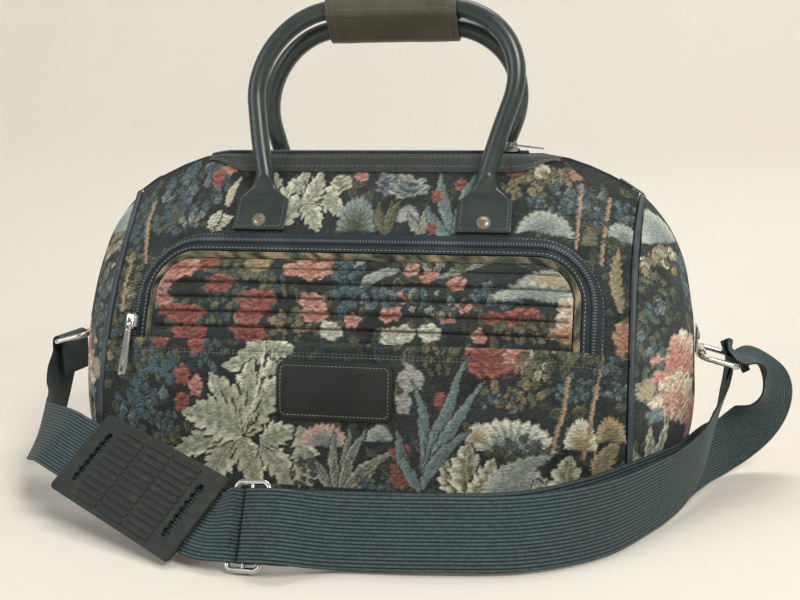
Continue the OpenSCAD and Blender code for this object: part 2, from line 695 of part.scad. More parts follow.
// The adjuster: the webbing passes over its outer bars, and its sewn end holds the middle bar
adjuster_mid = [-37.5 * spread, front_y - 149, 30];
adjuster_across = unit([0, 0.45, 0.89]);
adjuster_along = let (a = [0.97, -0.12, 0]) unit(a - (a * adjuster_across) * adjuster_across);
adjuster_out = cross(adjuster_along, adjuster_across);
bar_over = adjuster_wire / 2 + strap_clear + strap_t / 2;
ply = strap_t + 0.4;
function at_adjuster(rows) = [for (row = rows)
    [adjuster_mid + row.x * adjuster_along + row.y * adjuster_out, adjuster_across]];
function bar_turn(x, r, angles) = [for (a = angles) [x, 0] + r * [cos(a), sin(a)]];

upright = [0, 0.3, 0.95];
left_fall = [
    [[-5.2, 0, -13], [0, -1, 0]], [[-8, -8, -36], [0, -0.85, 0.5]], [[-3, -30, -58], [0, -0.4, 0.9]]
];
left_run = [
    [[-293, 51, 41], [0.1, 0, 1]], [[-281, 16, 42], [0.2, 0.2, 0.95]], [[-260, -18, 50], [0.36, 0.42, 0.83]]
];
under_run = [
    [[17, -134, 27], upright], [[84, -126, 27], upright], [[143, -110, 27], upright],
    [[186, -70, 27], upright], [[216, -26, 27], [0, 0.2, 1]], [[239, 9, 27], [-0.1, 0.1, 1]],
    [[256, 41, 27], [-0.1, 0, 1]], [[268, 73, 27], [-0.1, 0, 1]], [[281, 105, 27], [-0.15, 0, 1]]
];
right_loop = [
    [[-1, 22, -77], [-0.2, -0.1, 0.97]], [[20, 33, -62], [-0.5, -0.3, 0.8]],
    [[32, 28, -42], [-0.75, -0.6, 0.25]], [[31, 16, -20], [-0.5, -0.85, 0]], [[18, 6, 0], [-0.15, -1, 0]]
];
right_fall = [
    [[-6, -4, -14], [0, -1, 0.1]], [[-11, -22, -32], [0.1, -0.75, 0.65]],
    [[-20, -44, -50], [0.05, -0.5, 0.85]]
];
over_run = [
    [[272, 47, 42], [0.05, -0.3, 0.95]], [[257, 17, 32], [0, -0.1, 1]], [[236, -21, 28], [0, 0.1, 1]],
    [[198, -80, 27], upright], [[148, -118, 27], upright], [[86, -133, 27], upright],
    [[22, -141, 27], upright]
];
route = concat(
    from_bow(left_bow, [[[5.2, 0, -32], [0, -1, 0]], [[4.6, 0, -12], [0, -1, 0]]]),
    bow_turn(left_bow, [0, 45, 90, 135, 180], [0, -1, 0]),
    from_bow(left_bow, left_fall),
    from_front(left_run),
    on_pad_line([-pad_run - 20, -pad_run, -0.35 * pad_len, 0, 0.3 * pad_len, pad_len / 2 + 3]),
    at_adjuster(concat(
        bar_turn(-adjuster_pitch, bar_over, [110, 68, 26]), bar_turn(0, bar_over + ply, [215, 270, 325]),
        bar_turn(adjuster_pitch, bar_over, [155, 120, 80]), [[29, bar_over - 2.4]])),
    from_front(under_run),
    from_bow(right_bow, right_loop),
    bow_turn(right_bow, [50, 85, 120, 155, 190], [0, -1, 0]),
    from_bow(right_bow, right_fall),
    from_front(over_run),
    at_adjuster(concat(
        [[29, bar_over + 2 * ply - 1], [adjuster_pitch + 3, bar_over + 2 * ply], [4, bar_over + 1.5]],
        bar_turn(0, bar_over, [95, 150, 205, 260, 315]),
        [[adjuster_pitch - 5, bar_over - 1], [adjuster_pitch, bar_over + ply], [31, bar_over + ply - 1.6]])));
route_steps = 3;

function catmull(a, b, c, d, u) = 0.5 * (2 * b + (c - a) * u + (2 * a - 5 * b + 4 * c - d) * u * u
    + (3 * b - a - 3 * c + d) * u * u * u);
function route_at(i, k) = let (
        last = len(route) - 1,
        rows = [for (j = [i - 1:i + 2]) route[max(0, min(last, j))]],
        u = k / route_steps)
    [catmull(rows[0][0], rows[1][0], rows[2][0], rows[3][0], u), mix(rows[1][1], rows[2][1], u)];
strap_line = concat(
    [for (i = [0:len(route) - 2], k = [0:route_steps - 1]) route_at(i, k)], [route[len(route) - 1]]);
function strap_row(i, side) = let (
        last = len(strap_line) - 1,
        along = unit(strap_line[min(last, i + 1)][0] - strap_line[max(0, i - 1)][0]),
        raw = strap_line[i][1],
        across = unit(raw - (raw * along) * along),
        face = cross(across, along))
    [for (v = [-0.5, 0.5]) strap_line[i][0] + v * strap_w * across + side * strap_t / 2 * face];
function strap_face(side) = [for (i = [0:len(strap_line) - 1]) strap_row(i, side)];
module shoulder_strap() {
    color(webbing) sheet(strap_face(1), strap_face(-1));
}

// Adjuster: a wire frame with a middle bar
adjuster_half = strap_w / 2 + 2.4 + adjuster_wire / 2;
adjuster_corner = 4.5;
module strap_adjuster() {
    color(metal) set_on(adjuster_mid, adjuster_along, adjuster_across, adjuster_out) {
        translate([-adjuster_pitch, 0, 0])
            wire_loop(2 * adjuster_pitch, adjuster_half, adjuster_wire, adjuster_corner);
        rotate([90, 0, 0])
            cylinder(d = adjuster_wire * 0.8, h = 2 * adjuster_half - adjuster_wire * 0.6, center = true);
    }
}

// Shoulder pad: a moulded plate with toothed slots, ribs, and two bars that hold the webbing
slot_len = strap_w - 6;
slot_w = 8;
slot_tooth = slot_len / 15;
rib_rows = 9;
rib_h = 0.9;
module pad_plate() {
    linear_extrude(pad_t) difference() {
        offset(4) square([pad_len - 8, pad_w - 8], center = true);
        for (side = [-1, 1]) translate([side * pad_slot_x, 0]) {
            square([slot_w - 3, slot_len], center = true);
            for (k = [-3:3]) translate([0, k * slot_tooth * 2])
                square([slot_w, slot_tooth], center = true);
        }
    }
}
module pad_ribs() {
    rib_span = 2 * pad_slot_x - 3 * slot_w;
    column = (pad_w - 16) / 3;
    for (c = [-1:1], k = [0:rib_rows - 1])
        translate([(k / (rib_rows - 1) - 0.5) * rib_span, c * (column + 2), pad_t])
            translate([-1, -column / 2, -0.1]) cube([2, column, rib_h + 0.1]);
}
module pad_bars() {
    depth = strap_t + 1.2;
    for (end = [-1, 1]) translate([end * pad_slot_x, 0, 0]) {
        translate([-3, -strap_w / 2 - 3.5, -depth - 2]) cube([6, strap_w + 7, 2]);
        for (side = [-1, 1]) translate([-3, side * (strap_w / 2 + 2.25) - 1.25, -depth - 0.1])
            cube([6, 2.5, depth + 0.2]);
    }
}
module shoulder_pad() {
    color([0.1, 0.11, 0.1]) set_on(pad_mid, pad_along, pad_across, pad_out) {
        pad_plate();
        pad_ribs();
        pad_bars();
    }
}

front_panel();
lower_front_panel();
pocket_panel();
pocket_piping();
pocket_zip();
pocket_zip_slider();
pocket_zip_pull();
back_panel();
left_end_panel();
right_end_panel();
base_panel();
base_board();
front_left_piping();
front_right_piping();
back_left_piping();
back_right_piping();
main_zip();
main_zip_slider();
main_zip_pull();
front_zip_facing();
back_zip_facing();
front_handle();
back_handle();
front_handle_rivets();
back_handle_rivets();
handle_grip();
plain_patch();
left_ring_bracket();
right_ring_bracket();
left_ring();
right_ring();
left_bracket_rivet();
right_bracket_rivet();
shoulder_strap();
strap_adjuster();
shoulder_pad();
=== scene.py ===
"""Carpet bag: a tapestry shell with a tucked, zipped pocket, rolled vinyl handles and a webbing strap."""
import math

import bmesh
import bpy
import numpy as np
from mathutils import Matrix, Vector


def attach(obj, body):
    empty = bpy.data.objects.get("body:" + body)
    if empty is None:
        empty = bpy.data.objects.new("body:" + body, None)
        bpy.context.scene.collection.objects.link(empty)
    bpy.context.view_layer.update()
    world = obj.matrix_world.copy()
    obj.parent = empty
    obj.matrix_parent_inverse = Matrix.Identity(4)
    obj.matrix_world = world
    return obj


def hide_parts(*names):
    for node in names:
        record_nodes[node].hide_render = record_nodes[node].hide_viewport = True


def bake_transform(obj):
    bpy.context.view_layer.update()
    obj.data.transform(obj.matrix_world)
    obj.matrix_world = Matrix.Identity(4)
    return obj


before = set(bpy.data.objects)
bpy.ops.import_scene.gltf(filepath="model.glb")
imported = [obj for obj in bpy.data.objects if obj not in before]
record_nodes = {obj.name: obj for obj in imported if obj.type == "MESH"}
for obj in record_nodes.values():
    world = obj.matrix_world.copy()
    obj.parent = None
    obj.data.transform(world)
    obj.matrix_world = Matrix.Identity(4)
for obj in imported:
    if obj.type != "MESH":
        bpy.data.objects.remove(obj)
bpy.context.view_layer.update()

# Sizes are in millimetres and places are in the shared frame, as in the solids.
MM = 0.001
BODY_W, BODY_H = 430.0, 276.0
BASE_HALF, BASE_EDGE_R = 113.0, 14.0
APEX_H, APEX_HALF, RIDGE_HALF = 243.0, 7.0, 10.0
BELLY, SHOULDER = (124.0, 110.4), (80.0, 190.44)
STRAIGHT_SHARE, APEX_FLARE = 0.62, 7.0
END_BULGE, BASE_TUCK = 54.0, 0.2
CLOTH_T, SKIN_T, LAY = 2.4, 2.0, 0.5
PIPING_R, SEAM_GAP, END_SEAM_GAP = 2.6, 3.1, 2.945
HEM_H, POCKET_HALF, POCKET_TOP, POCKET_R = 125.03, 195.0, 211.0, 52.0
POCKET_DEPTH, ZIP_W, TAPE_T, COIL_H = 10.0, 19.0, 1.2, 2.2
BEAD_R, TUCK_IN = 3.0, 8.0
TUCKS, TUCK_PITCH, TUCK_OUT, FIRST_TUCK = 4, 11.0, 3.0, 135.03
PATCH_X, PATCH_Z, PATCH_W, PATCH_H = -13.0, 90.0, 94.0, 43.0
FACING_HALF, FACING_H, FACING_T = 154.0, 15.0, 1.4
HANDLE_SPAN, ROLL_R, GRIP_GAP = 190.0, 7.75, 15.0
HANDLE_TOP_HALF, HANDLE_R, HANDLE_LEAN = 45.0, 66.0, 10.0
FRONT_TOP, BACK_TOP = 399.0, 384.0
TAB_W, TAB_H, TAB_T, FLARE_H, TAB_EDGE = 45.0, 30.0, 3.0, 21.0, 8.0
RIVET_R = 6.0
GRIP_HALF, GRIP_IN, GRIP_OUT = 56.0, 9.95, 12.35
STRAP_W, STRAP_T = 50.0, 1.9
RING_H = 113.0
RIGHT_BOW = np.array([300.648, 0.0, 105.494])
LEFT_BOW = RIGHT_BOW * (-1, 1, 1)
STUD_X, STUD_H = 269.836, 126.2
SIDES, DEPTHS = ((1, "right"), (-1, "left")), ((1, "front"), (-1, "back"))

MIDDLE = np.array([(BASE_HALF, BASE_EDGE_R), BELLY, SHOULDER, (RIDGE_HALF, BODY_H)])
SEAM = np.array([(BASE_HALF, BASE_EDGE_R), BELLY, SHOULDER, (APEX_HALF, APEX_H)])
STEP = 1e-4


# Plain maths
def unit(v):
    return v / np.linalg.norm(v, axis=-1, keepdims=True)


def mix(a, b, w):
    return a + (b - a) * w


def smooth(u):
    c = np.clip(u, 0, 1)
    return c * c * (3 - 2 * c)


def bezier(c, t):
    t = np.asarray(t, float)[..., None]
    return (1 - t) ** 3 * c[0] + 3 * (1 - t) ** 2 * t * c[1] + 3 * (1 - t) * t * t * c[2] + t ** 3 * c[3]


def hash01(k, seed=0.0):
    return np.modf(np.abs(np.sin(k * 12.9898 + seed * 78.233) * 43758.5453))[0]


lattice = np.random.default_rng(7).random((64, 64))


def noise(x, z):
    """Soft value noise in 0..1 with a cell of 1."""
    i, j = np.floor(x).astype(int), np.floor(z).astype(int)
    u, v = smooth(x - i), smooth(z - j)
    at = lambda a, b: lattice[(i + a) % 64, (j + b) % 64]
    return mix(mix(at(0, 0), at(1, 0), u), mix(at(0, 1), at(1, 1), u), v)


# The bag's walls
def profile(c, t):
    t = np.asarray(t, float)
    turn = math.pi / 2 * (1 + np.minimum(t, 0))
    low = c[0] + BASE_EDGE_R * np.stack([np.sin(turn) - 1, -np.cos(turn)], -1)
    return np.where(t[..., None] >= 0, bezier(c, np.maximum(t, 0)), low)


def seam_x(t):
    return BODY_W / 2 + APEX_FLARE * np.maximum(t, 0) ** 6


def wall_point(s, t):
    fall = np.maximum(0, (np.abs(s) - STRAIGHT_SHARE) / (1 - STRAIGHT_SHARE)) ** 1.6
    p = mix(profile(MIDDLE, t), profile(SEAM, t), fall[..., None])
    return np.stack([s * seam_x(t), -p[..., 0], p[..., 1]], -1)


def wall_out(s, t):
    return unit(np.cross(wall_point(s + STEP, t) - wall_point(s - STEP, t),
                         wall_point(s, t + STEP) - wall_point(s, t - STEP)))


def wall(s, t, off):
    s, t = np.broadcast_arrays(np.asarray(s, float), np.asarray(t, float))
    return wall_point(s, t) + np.asarray(off, float)[..., None] * wall_out(s, t)


level_steps = np.linspace(0, 1, 4001)
level_heights = bezier(MIDDLE, level_steps)[:, 1]


def level(z):
    return np.interp(z, level_heights, level_steps)


def front(x, z, off):
    t = level(np.asarray(z, float))
    return wall(np.asarray(x, float) / seam_x(t), t, off)


def bulge(t):
    tuck = 1 - BASE_TUCK * (1 - np.clip(t / 0.25, 0, 1)) ** 2
    low = np.where(t < 0, 1 - np.sin(math.pi / 2 * (1 + t)), 0)
    return END_BULGE * (1 - np.maximum(t, 0) ** 4) * tuck - BASE_EDGE_R * low


def end_point(r, t):
    q = profile(SEAM, t)
    return np.stack([seam_x(t) + bulge(t) * (1 - r * r), r * q[..., 0], q[..., 1]], -1)


def end_out(r, t):
    return unit(np.cross(end_point(r + STEP, t) - end_point(r - STEP, t),
                         end_point(r, t + STEP) - end_point(r, t - STEP)))


def inset(x, z):
    dx, dz = np.abs(x) - (POCKET_HALF - POCKET_R), z - (POCKET_TOP - POCKET_R)
    return POCKET_R - np.hypot(np.maximum(dx, 0), np.maximum(dz, 0)) - np.minimum(np.maximum(dx, dz), 0)


def puff(x, z):
    return POCKET_DEPTH * smooth(inset(x, z) / ZIP_W)


def outline_half(z, d):
    dz = np.maximum(0, z - (POCKET_TOP - POCKET_R))
    return POCKET_HALF - POCKET_R + np.sqrt(np.maximum(0, (POCKET_R - d) ** 2 - dz * dz))


def outline(d, gap=2.0):
    """The pocket's inverted U from the left leg to the right leg, d inside the outline."""
    core, low = POCKET_HALF - POCKET_R, HEM_H - TUCK_IN
    turn = np.radians(np.linspace(0, 90, 40))
    bend = POCKET_TOP - POCKET_R
    corner = np.array([core, bend]) + (POCKET_R - d) * np.stack([np.cos(turn), np.sin(turn)], -1)
    leg = np.stack([np.full(20, POCKET_HALF - d), np.linspace(low, bend, 20, endpoint=False)], -1)
    top = np.stack([np.linspace(core, 0, int(core / gap)), np.full(int(core / gap), POCKET_TOP - d)], -1)[1:]
    right = np.concatenate([leg, corner, top])
    left = right[-2::-1] * (-1, 1)
    return np.concatenate([right, left])[::-1]


def on_pocket(d, h):
    p = outline(d)
    return front(p[:, 0], p[:, 1], puff(p[:, 0], p[:, 1]) + h)


def lower_lift(x, z):
    stack = TAPE_T + COIL_H + LAY
    over_zip = stack * smooth((BODY_W / 2 - 4 - np.abs(x)) / 14)
    return LAY + smooth(z / HEM_H) * (puff(x, np.minimum(z, HEM_H)) + over_zip)


def tuck(z):
    u = (z - FIRST_TUCK) / TUCK_PITCH
    f = u - np.floor(u)
    return np.where((u < 0) | (u >= TUCKS), 0, TUCK_OUT * np.sin(math.pi * f ** 0.6))


# Meshes from grids of points
def grid_faces(rows, cols, closed=False):
    i = np.arange(rows - 1)[:, None]
    j = np.arange(cols if closed else cols - 1)[None, :]
    a, b = i * cols + j, i * cols + (j + 1) % cols
    return np.stack([a, b, b + cols, a + cols], -1).reshape(-1, 4)


def grid_normals(grid):
    du, dv = np.gradient(grid, axis=1), np.gradient(grid, axis=0)
    return unit(np.cross(du, dv))


def make_piece(name, points, faces, material, uv=None, tint=None, sharp=50):
    mesh = bpy.data.meshes.new(name)
    mesh.from_pydata((np.asarray(points) * MM).tolist(), [], [list(f) for f in faces])
    loops = np.empty(len(mesh.loops), int)
    mesh.loops.foreach_get("vertex_index", loops)
    if uv is not None:
        layer = mesh.uv_layers.new(name="lay")
        layer.data.foreach_set("uv", (np.asarray(uv) * MM)[loops].ravel())
    if tint is not None:
        layer = mesh.color_attributes.new("tint", "FLOAT_COLOR", "POINT")
        layer.data.foreach_set("color", np.c_[tint, np.ones(len(tint))].ravel())
    mesh.shade_smooth()
    mesh.set_sharp_from_angle(angle=math.radians(sharp))
    mesh.materials.append(material)
    piece = bpy.data.objects.new(name, mesh)
    bpy.context.scene.collection.objects.link(piece)
    return piece


def shell(name, outer, thick, material, uv=None, tint=None, flip=False, coarse=3):
    """A closed sheet: the outer grid, a coarser inner one at thick below it, and the rim between."""
    rows, cols = outer.shape[:2]
    count = rows * cols
    row_at, col_at = (np.unique(np.r_[np.arange(0, n, coarse), n - 1]) for n in (rows, cols))
    picked = np.ix_(row_at, col_at)
    inner = (outer - (-thick if flip else thick) * grid_normals(outer))[picked]
    top = np.arange(count).reshape(rows, cols)
    low = count + np.arange(inner[..., 0].size).reshape(inner.shape[:2])
    faces = grid_faces(rows, cols).tolist() + (grid_faces(*low.shape)[:, ::-1] + count).tolist()
    back_rows, back_cols = rows - 1 - row_at[::-1], cols - 1 - col_at[::-1]
    for edge, marks, under in (
            (top[0], col_at, low[0]), (top[:, -1], row_at, low[:, -1]),
            (top[-1, ::-1], back_cols, low[-1, ::-1]), (top[::-1, 0], back_rows, low[::-1, 0])):
        for a, b, i, j in zip(marks, marks[1:], under, under[1:]):
            faces.append([*edge[a:b + 1][::-1], i, j])
    if flip:
        faces = [face[::-1] for face in faces]
    stacked = lambda v: np.concatenate([v.reshape(count, -1), v[picked].reshape(low.size, -1)])
    both = lambda v: None if v is None else stacked(v)
    points = np.concatenate([outer.reshape(-1, 3), inner.reshape(-1, 3)])
    return make_piece(name, points, faces, material, both(uv), both(tint))


def tube(name, rings, material, uv=None, tint=None, sharp=50):
    """A tube through rings of points, which run clockwise seen along the path, with closed ends."""
    rows, cols = rings.shape[:2]
    faces = grid_faces(rows, cols, closed=True).tolist()
    faces += [list(range(cols))[::-1], [(rows - 1) * cols + k for k in range(cols)]]
    return make_piece(name, rings.reshape(-1, 3), faces, material, uv, tint, sharp)


def rings_along(path, side, radius, sides=12):
    """Round rings on a path. side is a direction off the path for the first point of each ring."""
    along = unit(np.gradient(path, axis=0))
    first = unit(side - (side * along).sum(-1, keepdims=True) * along)
    second = np.cross(along, first)
    a = 2 * math.pi * np.arange(sides) / sides
    radius = np.broadcast_to(radius, (len(path),))
    return path[:, None] + radius[:, None, None] * (
        np.cos(a)[None, :, None] * first[:, None] + np.sin(a)[None, :, None] * second[:, None])


def lathe(name, outline_rh, spot, right, up, out, material, sides=28):
    """A turned piece: (radius, height) pairs from its underside to its crown, standing on a spot."""
    a = 2 * math.pi * np.arange(sides) / sides
    ring = np.cos(a)[:, None] * right + np.sin(a)[:, None] * up
    rings = np.array([spot + r * ring + h * out for r, h in outline_rh])
    return tube(name, rings, material, sharp=40)


def softened(name, node, width, material, reshape=None):
    """A copy of a solid with its edges broken, to stand for it. reshape works on the copy first."""
    mesh = record_nodes[node].data.copy()
    work = bmesh.new()
    work.from_mesh(mesh)
    if reshape:
        reshape(work)
    bmesh.ops.remove_doubles(work, verts=work.verts, dist=2e-6)
    bmesh.ops.dissolve_limit(work, angle_limit=math.radians(1), verts=work.verts, edges=work.edges)
    work.to_mesh(mesh)
    work.free()
    mesh.materials.clear()
    mesh.materials.append(material)
    piece = bpy.data.objects.new(name, mesh)
    bpy.context.scene.collection.objects.link(piece)
    bevel = piece.modifiers.new("broken edges", "BEVEL")
    bevel.width, bevel.segments, bevel.limit_method = width * MM, 2, "ANGLE"
    bevel.angle_limit = math.radians(35)
    bevel.use_clamp_overlap = True
    return settled(piece)


def settled(piece):
    """The piece with its modifiers worked in, as a plain mesh."""
    graph = bpy.context.evaluated_depsgraph_get()
    mesh = bpy.data.meshes.new_from_object(piece.evaluated_get(graph))
    name = piece.name
    bpy.data.objects.remove(piece)
    mesh.name = name
    mesh.shade_smooth()
    mesh.set_sharp_from_angle(angle=math.radians(50))
    done = bpy.data.objects.new(name, mesh)
    bpy.context.scene.collection.objects.link(done)
    return done


def dress(piece, body, slot, *nodes):
    """Lets a piece ride on a body and hides the solids it stands for. slot is not used."""
    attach(piece, body)
    if nodes:
        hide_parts(*nodes)
    return piece


# Shader node groups
def linear(*rgb):
    c = np.array(rgb, float) / 255
    return np.where(c <= 0.04045, c / 12.92, ((c + 0.055) / 1.055) ** 2.4)


class Nodes:
    """A node tree under construction, with short ways to add and link its nodes."""

    def __init__(self, tree):
        self.tree = tree

    def add(self, kind, inputs=None, **settings):
        node = self.tree.nodes.new(kind)
        for key, value in settings.items():
            setattr(node, key, value)
        for key, value in (inputs or {}).items():
            if isinstance(value, bpy.types.NodeSocket):
                self.tree.links.new(value, node.inputs[key])
            else:
                node.inputs[key].default_value = value
        return node

    def math(self, operation, a, b=0.0, c=0.0):
        return self.add("ShaderNodeMath", {0: a, 1: b, 2: c}, operation=operation).outputs[0]

    def mix(self, factor, a, b, blend="MIX"):
        blended = self.add("ShaderNodeMix", {0: factor, 6: a, 7: b}, data_type="RGBA", blend_type=blend)
        return blended.outputs[2]

    def grade(self, value, low, high, to_low=0.0, to_high=1.0):
        return self.add("ShaderNodeMapRange", {0: value, 1: low, 2: high, 3: to_low, 4: to_high}).outputs[0]


def shader_group(name, inputs, outputs):
    tree = bpy.data.node_groups.new(name, "ShaderNodeTree")
    kinds = {"v": "NodeSocketFloat", "c": "NodeSocketColor"}
    for key, kind, value in inputs:
        tree.interface.new_socket(key, in_out="INPUT", socket_type=kinds[kind]).default_value = value
    for key, kind in outputs:
        tree.interface.new_socket(key, in_out="OUTPUT", socket_type=kinds[kind])
    nodes = Nodes(tree)
    return nodes, nodes.add("NodeGroupInput").outputs, nodes.add("NodeGroupOutput").inputs


def yarn_weave():
    """Rows of yarn on a cloth's own lay: each pick has its own tone, and the rows stand proud. The colour
    carries painted shade in the grooves between rows and picks, and a painted highlight on their crowns.
    """
    n, given, out = shader_group(
        "yarn_weave", [("Tint", "c", (0.2, 0.2, 0.2, 1)), ("Row", "v", 1.1), ("Pick", "v", 2.4),
                       ("Contrast", "v", 0.5)],
        [("Color", "c"), ("Height", "v")])
    lay = n.add("ShaderNodeSeparateXYZ", {0: n.add("ShaderNodeUVMap", uv_map="lay").outputs[0]}).outputs
    row = n.math("DIVIDE", n.math("MULTIPLY", lay[1], 1000.0), given["Row"])
    row_at = n.math("FLOOR", row)
    shift = n.math("MULTIPLY", n.math("PINGPONG", row_at, 1.0), 0.5)
    pick = n.math("ADD", n.math("DIVIDE", n.math("MULTIPLY", lay[0], 1000.0), given["Pick"]), shift)
    cell = n.add("ShaderNodeCombineXYZ", {0: n.math("FLOOR", pick), 1: row_at}).outputs[0]
    tone = n.add("ShaderNodeTexWhiteNoise", {0: cell}, noise_dimensions="3D").outputs["Value"]
    arch = lambda value: n.math("SINE", n.math("MULTIPLY", n.math("FRACT", value), math.pi))
    crown = n.math("MULTIPLY", arch(row), n.math("MULTIPLY_ADD", arch(pick), 0.5, 0.5))
    spot = n.add("ShaderNodeTexCoord").outputs["Object"]
    cloud = n.add("ShaderNodeTexNoise", {"Vector": spot, "Scale": 60.0, "Detail": 3.0}).outputs[0]
    light = n.math("MULTIPLY_ADD", n.math("SUBTRACT", tone, 0.5), given["Contrast"], 1.0)
    # Painted light: the colour is darkened in the grooves between yarns (painted shade) and lifted on their
    # crowns (painted highlight).
    deep = n.math("MULTIPLY", light, n.grade(crown, 0.0, 0.7, 0.62, 1.12))
    deep = n.math("MULTIPLY", deep, n.grade(cloud, 0.3, 0.7, 0.92, 1.08))
    value = n.add("ShaderNodeCombineColor", {0: deep, 1: deep, 2: deep}).outputs[0]
    n.tree.links.new(n.mix(1.0, given["Tint"], value, "MULTIPLY"), out["Color"])
    n.tree.links.new(crown, out["Height"])
    return n.tree


def hide_grain():
    """Pebbled grain with rubbed places, for vinyl and leather."""
    n, given, out = shader_group(
        "hide_grain", [("Tint", "c", (0.1, 0.1, 0.1, 1)), ("Rubbed", "c", (0.2, 0.2, 0.2, 1)),
                       ("Grain", "v", 900.0), ("Wear", "v", 0.3), ("Gloss", "v", 0.3)],
        [("Color", "c"), ("Roughness", "v"), ("Height", "v")])
    spot = n.add("ShaderNodeTexCoord").outputs["Object"]
    pebbles = {"Vector": spot, "Scale": given["Grain"]}
    cells = n.add("ShaderNodeTexVoronoi", pebbles, feature="SMOOTH_F1").outputs[0]
    cloud = n.add("ShaderNodeTexNoise", {"Vector": spot, "Scale": 38.0, "Detail": 5.0}).outputs[0]
    fine = n.add("ShaderNodeTexNoise", {"Vector": spot, "Scale": 420.0, "Detail": 2.0}).outputs[0]
    rub = n.math("MULTIPLY", n.grade(cloud, 0.48, 0.72), given["Wear"])
    tint = n.mix(rub, given["Tint"], given["Rubbed"])
    speck = n.grade(fine, 0.25, 0.75, 0.86, 1.1)
    value = n.add("ShaderNodeCombineColor", {0: speck, 1: speck, 2: speck}).outputs[0]
    n.tree.links.new(n.mix(1.0, tint, value, "MULTIPLY"), out["Color"])
    uneven = n.math("ADD", n.grade(cloud, 0.3, 0.7, -0.05, 0.09), n.grade(fine, 0.3, 0.7, -0.03, 0.03))
    n.tree.links.new(n.math("ADD", given["Gloss"], uneven), out["Roughness"])
    n.tree.links.new(n.math("ADD", cells, n.math("MULTIPLY", fine, 0.4)), out["Height"])
    return n.tree


def ribbed_webbing():
    """Lengthwise ribs crossed by slanting yarns, on a strip whose lay is (across, along). The grooves between
    ribs and yarns are painted dark as shade.
    """
    n, given, out = shader_group(
        "ribbed_webbing", [("Tint", "c", (0.1, 0.2, 0.2, 1)), ("GrooveShade", "c", (0.02, 0.05, 0.05, 1)),
                           ("Rib", "v", 2.5), ("Yarn", "v", 1.6)],
        [("Color", "c"), ("Height", "v")])
    lay = n.add("ShaderNodeSeparateXYZ", {0: n.add("ShaderNodeUVMap", uv_map="lay").outputs[0]}).outputs
    rib = n.math("DIVIDE", n.math("MULTIPLY", lay[0], 1000.0), given["Rib"])
    rib_at = n.math("FLOOR", rib)
    lean = n.math("MULTIPLY_ADD", n.math("PINGPONG", rib_at, 1.0), 2.0, -1.0)
    yarn = n.math("ADD", n.math("DIVIDE", n.math("MULTIPLY", lay[1], 1000.0), given["Yarn"]),
                  n.math("MULTIPLY", lean, n.math("FRACT", rib)))
    crown = n.math("SINE", n.math("MULTIPLY", n.math("FRACT", rib), math.pi))
    twist = n.math("SINE", n.math("MULTIPLY", n.math("FRACT", yarn), math.pi))
    cell = n.add("ShaderNodeCombineXYZ", {0: rib_at, 1: n.math("FLOOR", yarn)}).outputs[0]
    tone = n.add("ShaderNodeTexWhiteNoise", {0: cell}, noise_dimensions="3D").outputs["Value"]
    height = n.math("MULTIPLY", crown, n.math("MULTIPLY_ADD", twist, 0.5, 0.5))
    # Painted shade: the colour falls from Tint on the crowns to the dark groove colour down in the grooves.
    tint = n.mix(n.grade(height, 0.15, 0.8), given["GrooveShade"], given["Tint"])
    speck = n.grade(tone, 0.0, 1.0, 0.78, 1.2)
    value = n.add("ShaderNodeCombineColor", {0: speck, 1: speck, 2: speck}).outputs[0]
    n.tree.links.new(n.mix(1.0, tint, value, "MULTIPLY"), out["Color"])
    n.tree.links.new(height, out["Height"])
    return n.tree


def fine_scuffs():
    """Hairlines and dull clouds on bare metal and moulded plastic."""
    n, given, out = shader_group(
        "fine_scuffs", [("Tint", "c", (0.7, 0.7, 0.7, 1)), ("Dull", "c", (0.4, 0.4, 0.4, 1)),
                        ("Gloss", "v", 0.2), ("Spread", "v", 0.2)],
        [("Color", "c"), ("Roughness", "v"), ("Height", "v")])
    spot = n.add("ShaderNodeTexCoord").outputs["Object"]
    cloud = n.add("ShaderNodeTexNoise", {"Vector": spot, "Scale": 130.0, "Detail": 6.0}).outputs[0]
    long = n.add("ShaderNodeMapping", {"Vector": spot, "Scale": (90.0, 900.0, 1400.0)}).outputs[0]
    lines = n.add("ShaderNodeTexNoise", {"Vector": long, "Scale": 1.0, "Detail": 2.0}).outputs[0]
    n.tree.links.new(n.mix(n.grade(cloud, 0.5, 0.75, 0.0, 0.7), given["Tint"], given["Dull"]), out["Color"])
    n.tree.links.new(n.math("ADD", given["Gloss"], n.math("MULTIPLY", given["Spread"], n.math(
        "SUBTRACT", n.math("ADD", cloud, n.math("MULTIPLY", lines, 0.5)), 0.6))), out["Roughness"])
    n.tree.links.new(lines, out["Height"])
    return n.tree


groups = {make.__name__: make() for make in (yarn_weave, hide_grain, ribbed_webbing, fine_scuffs)}


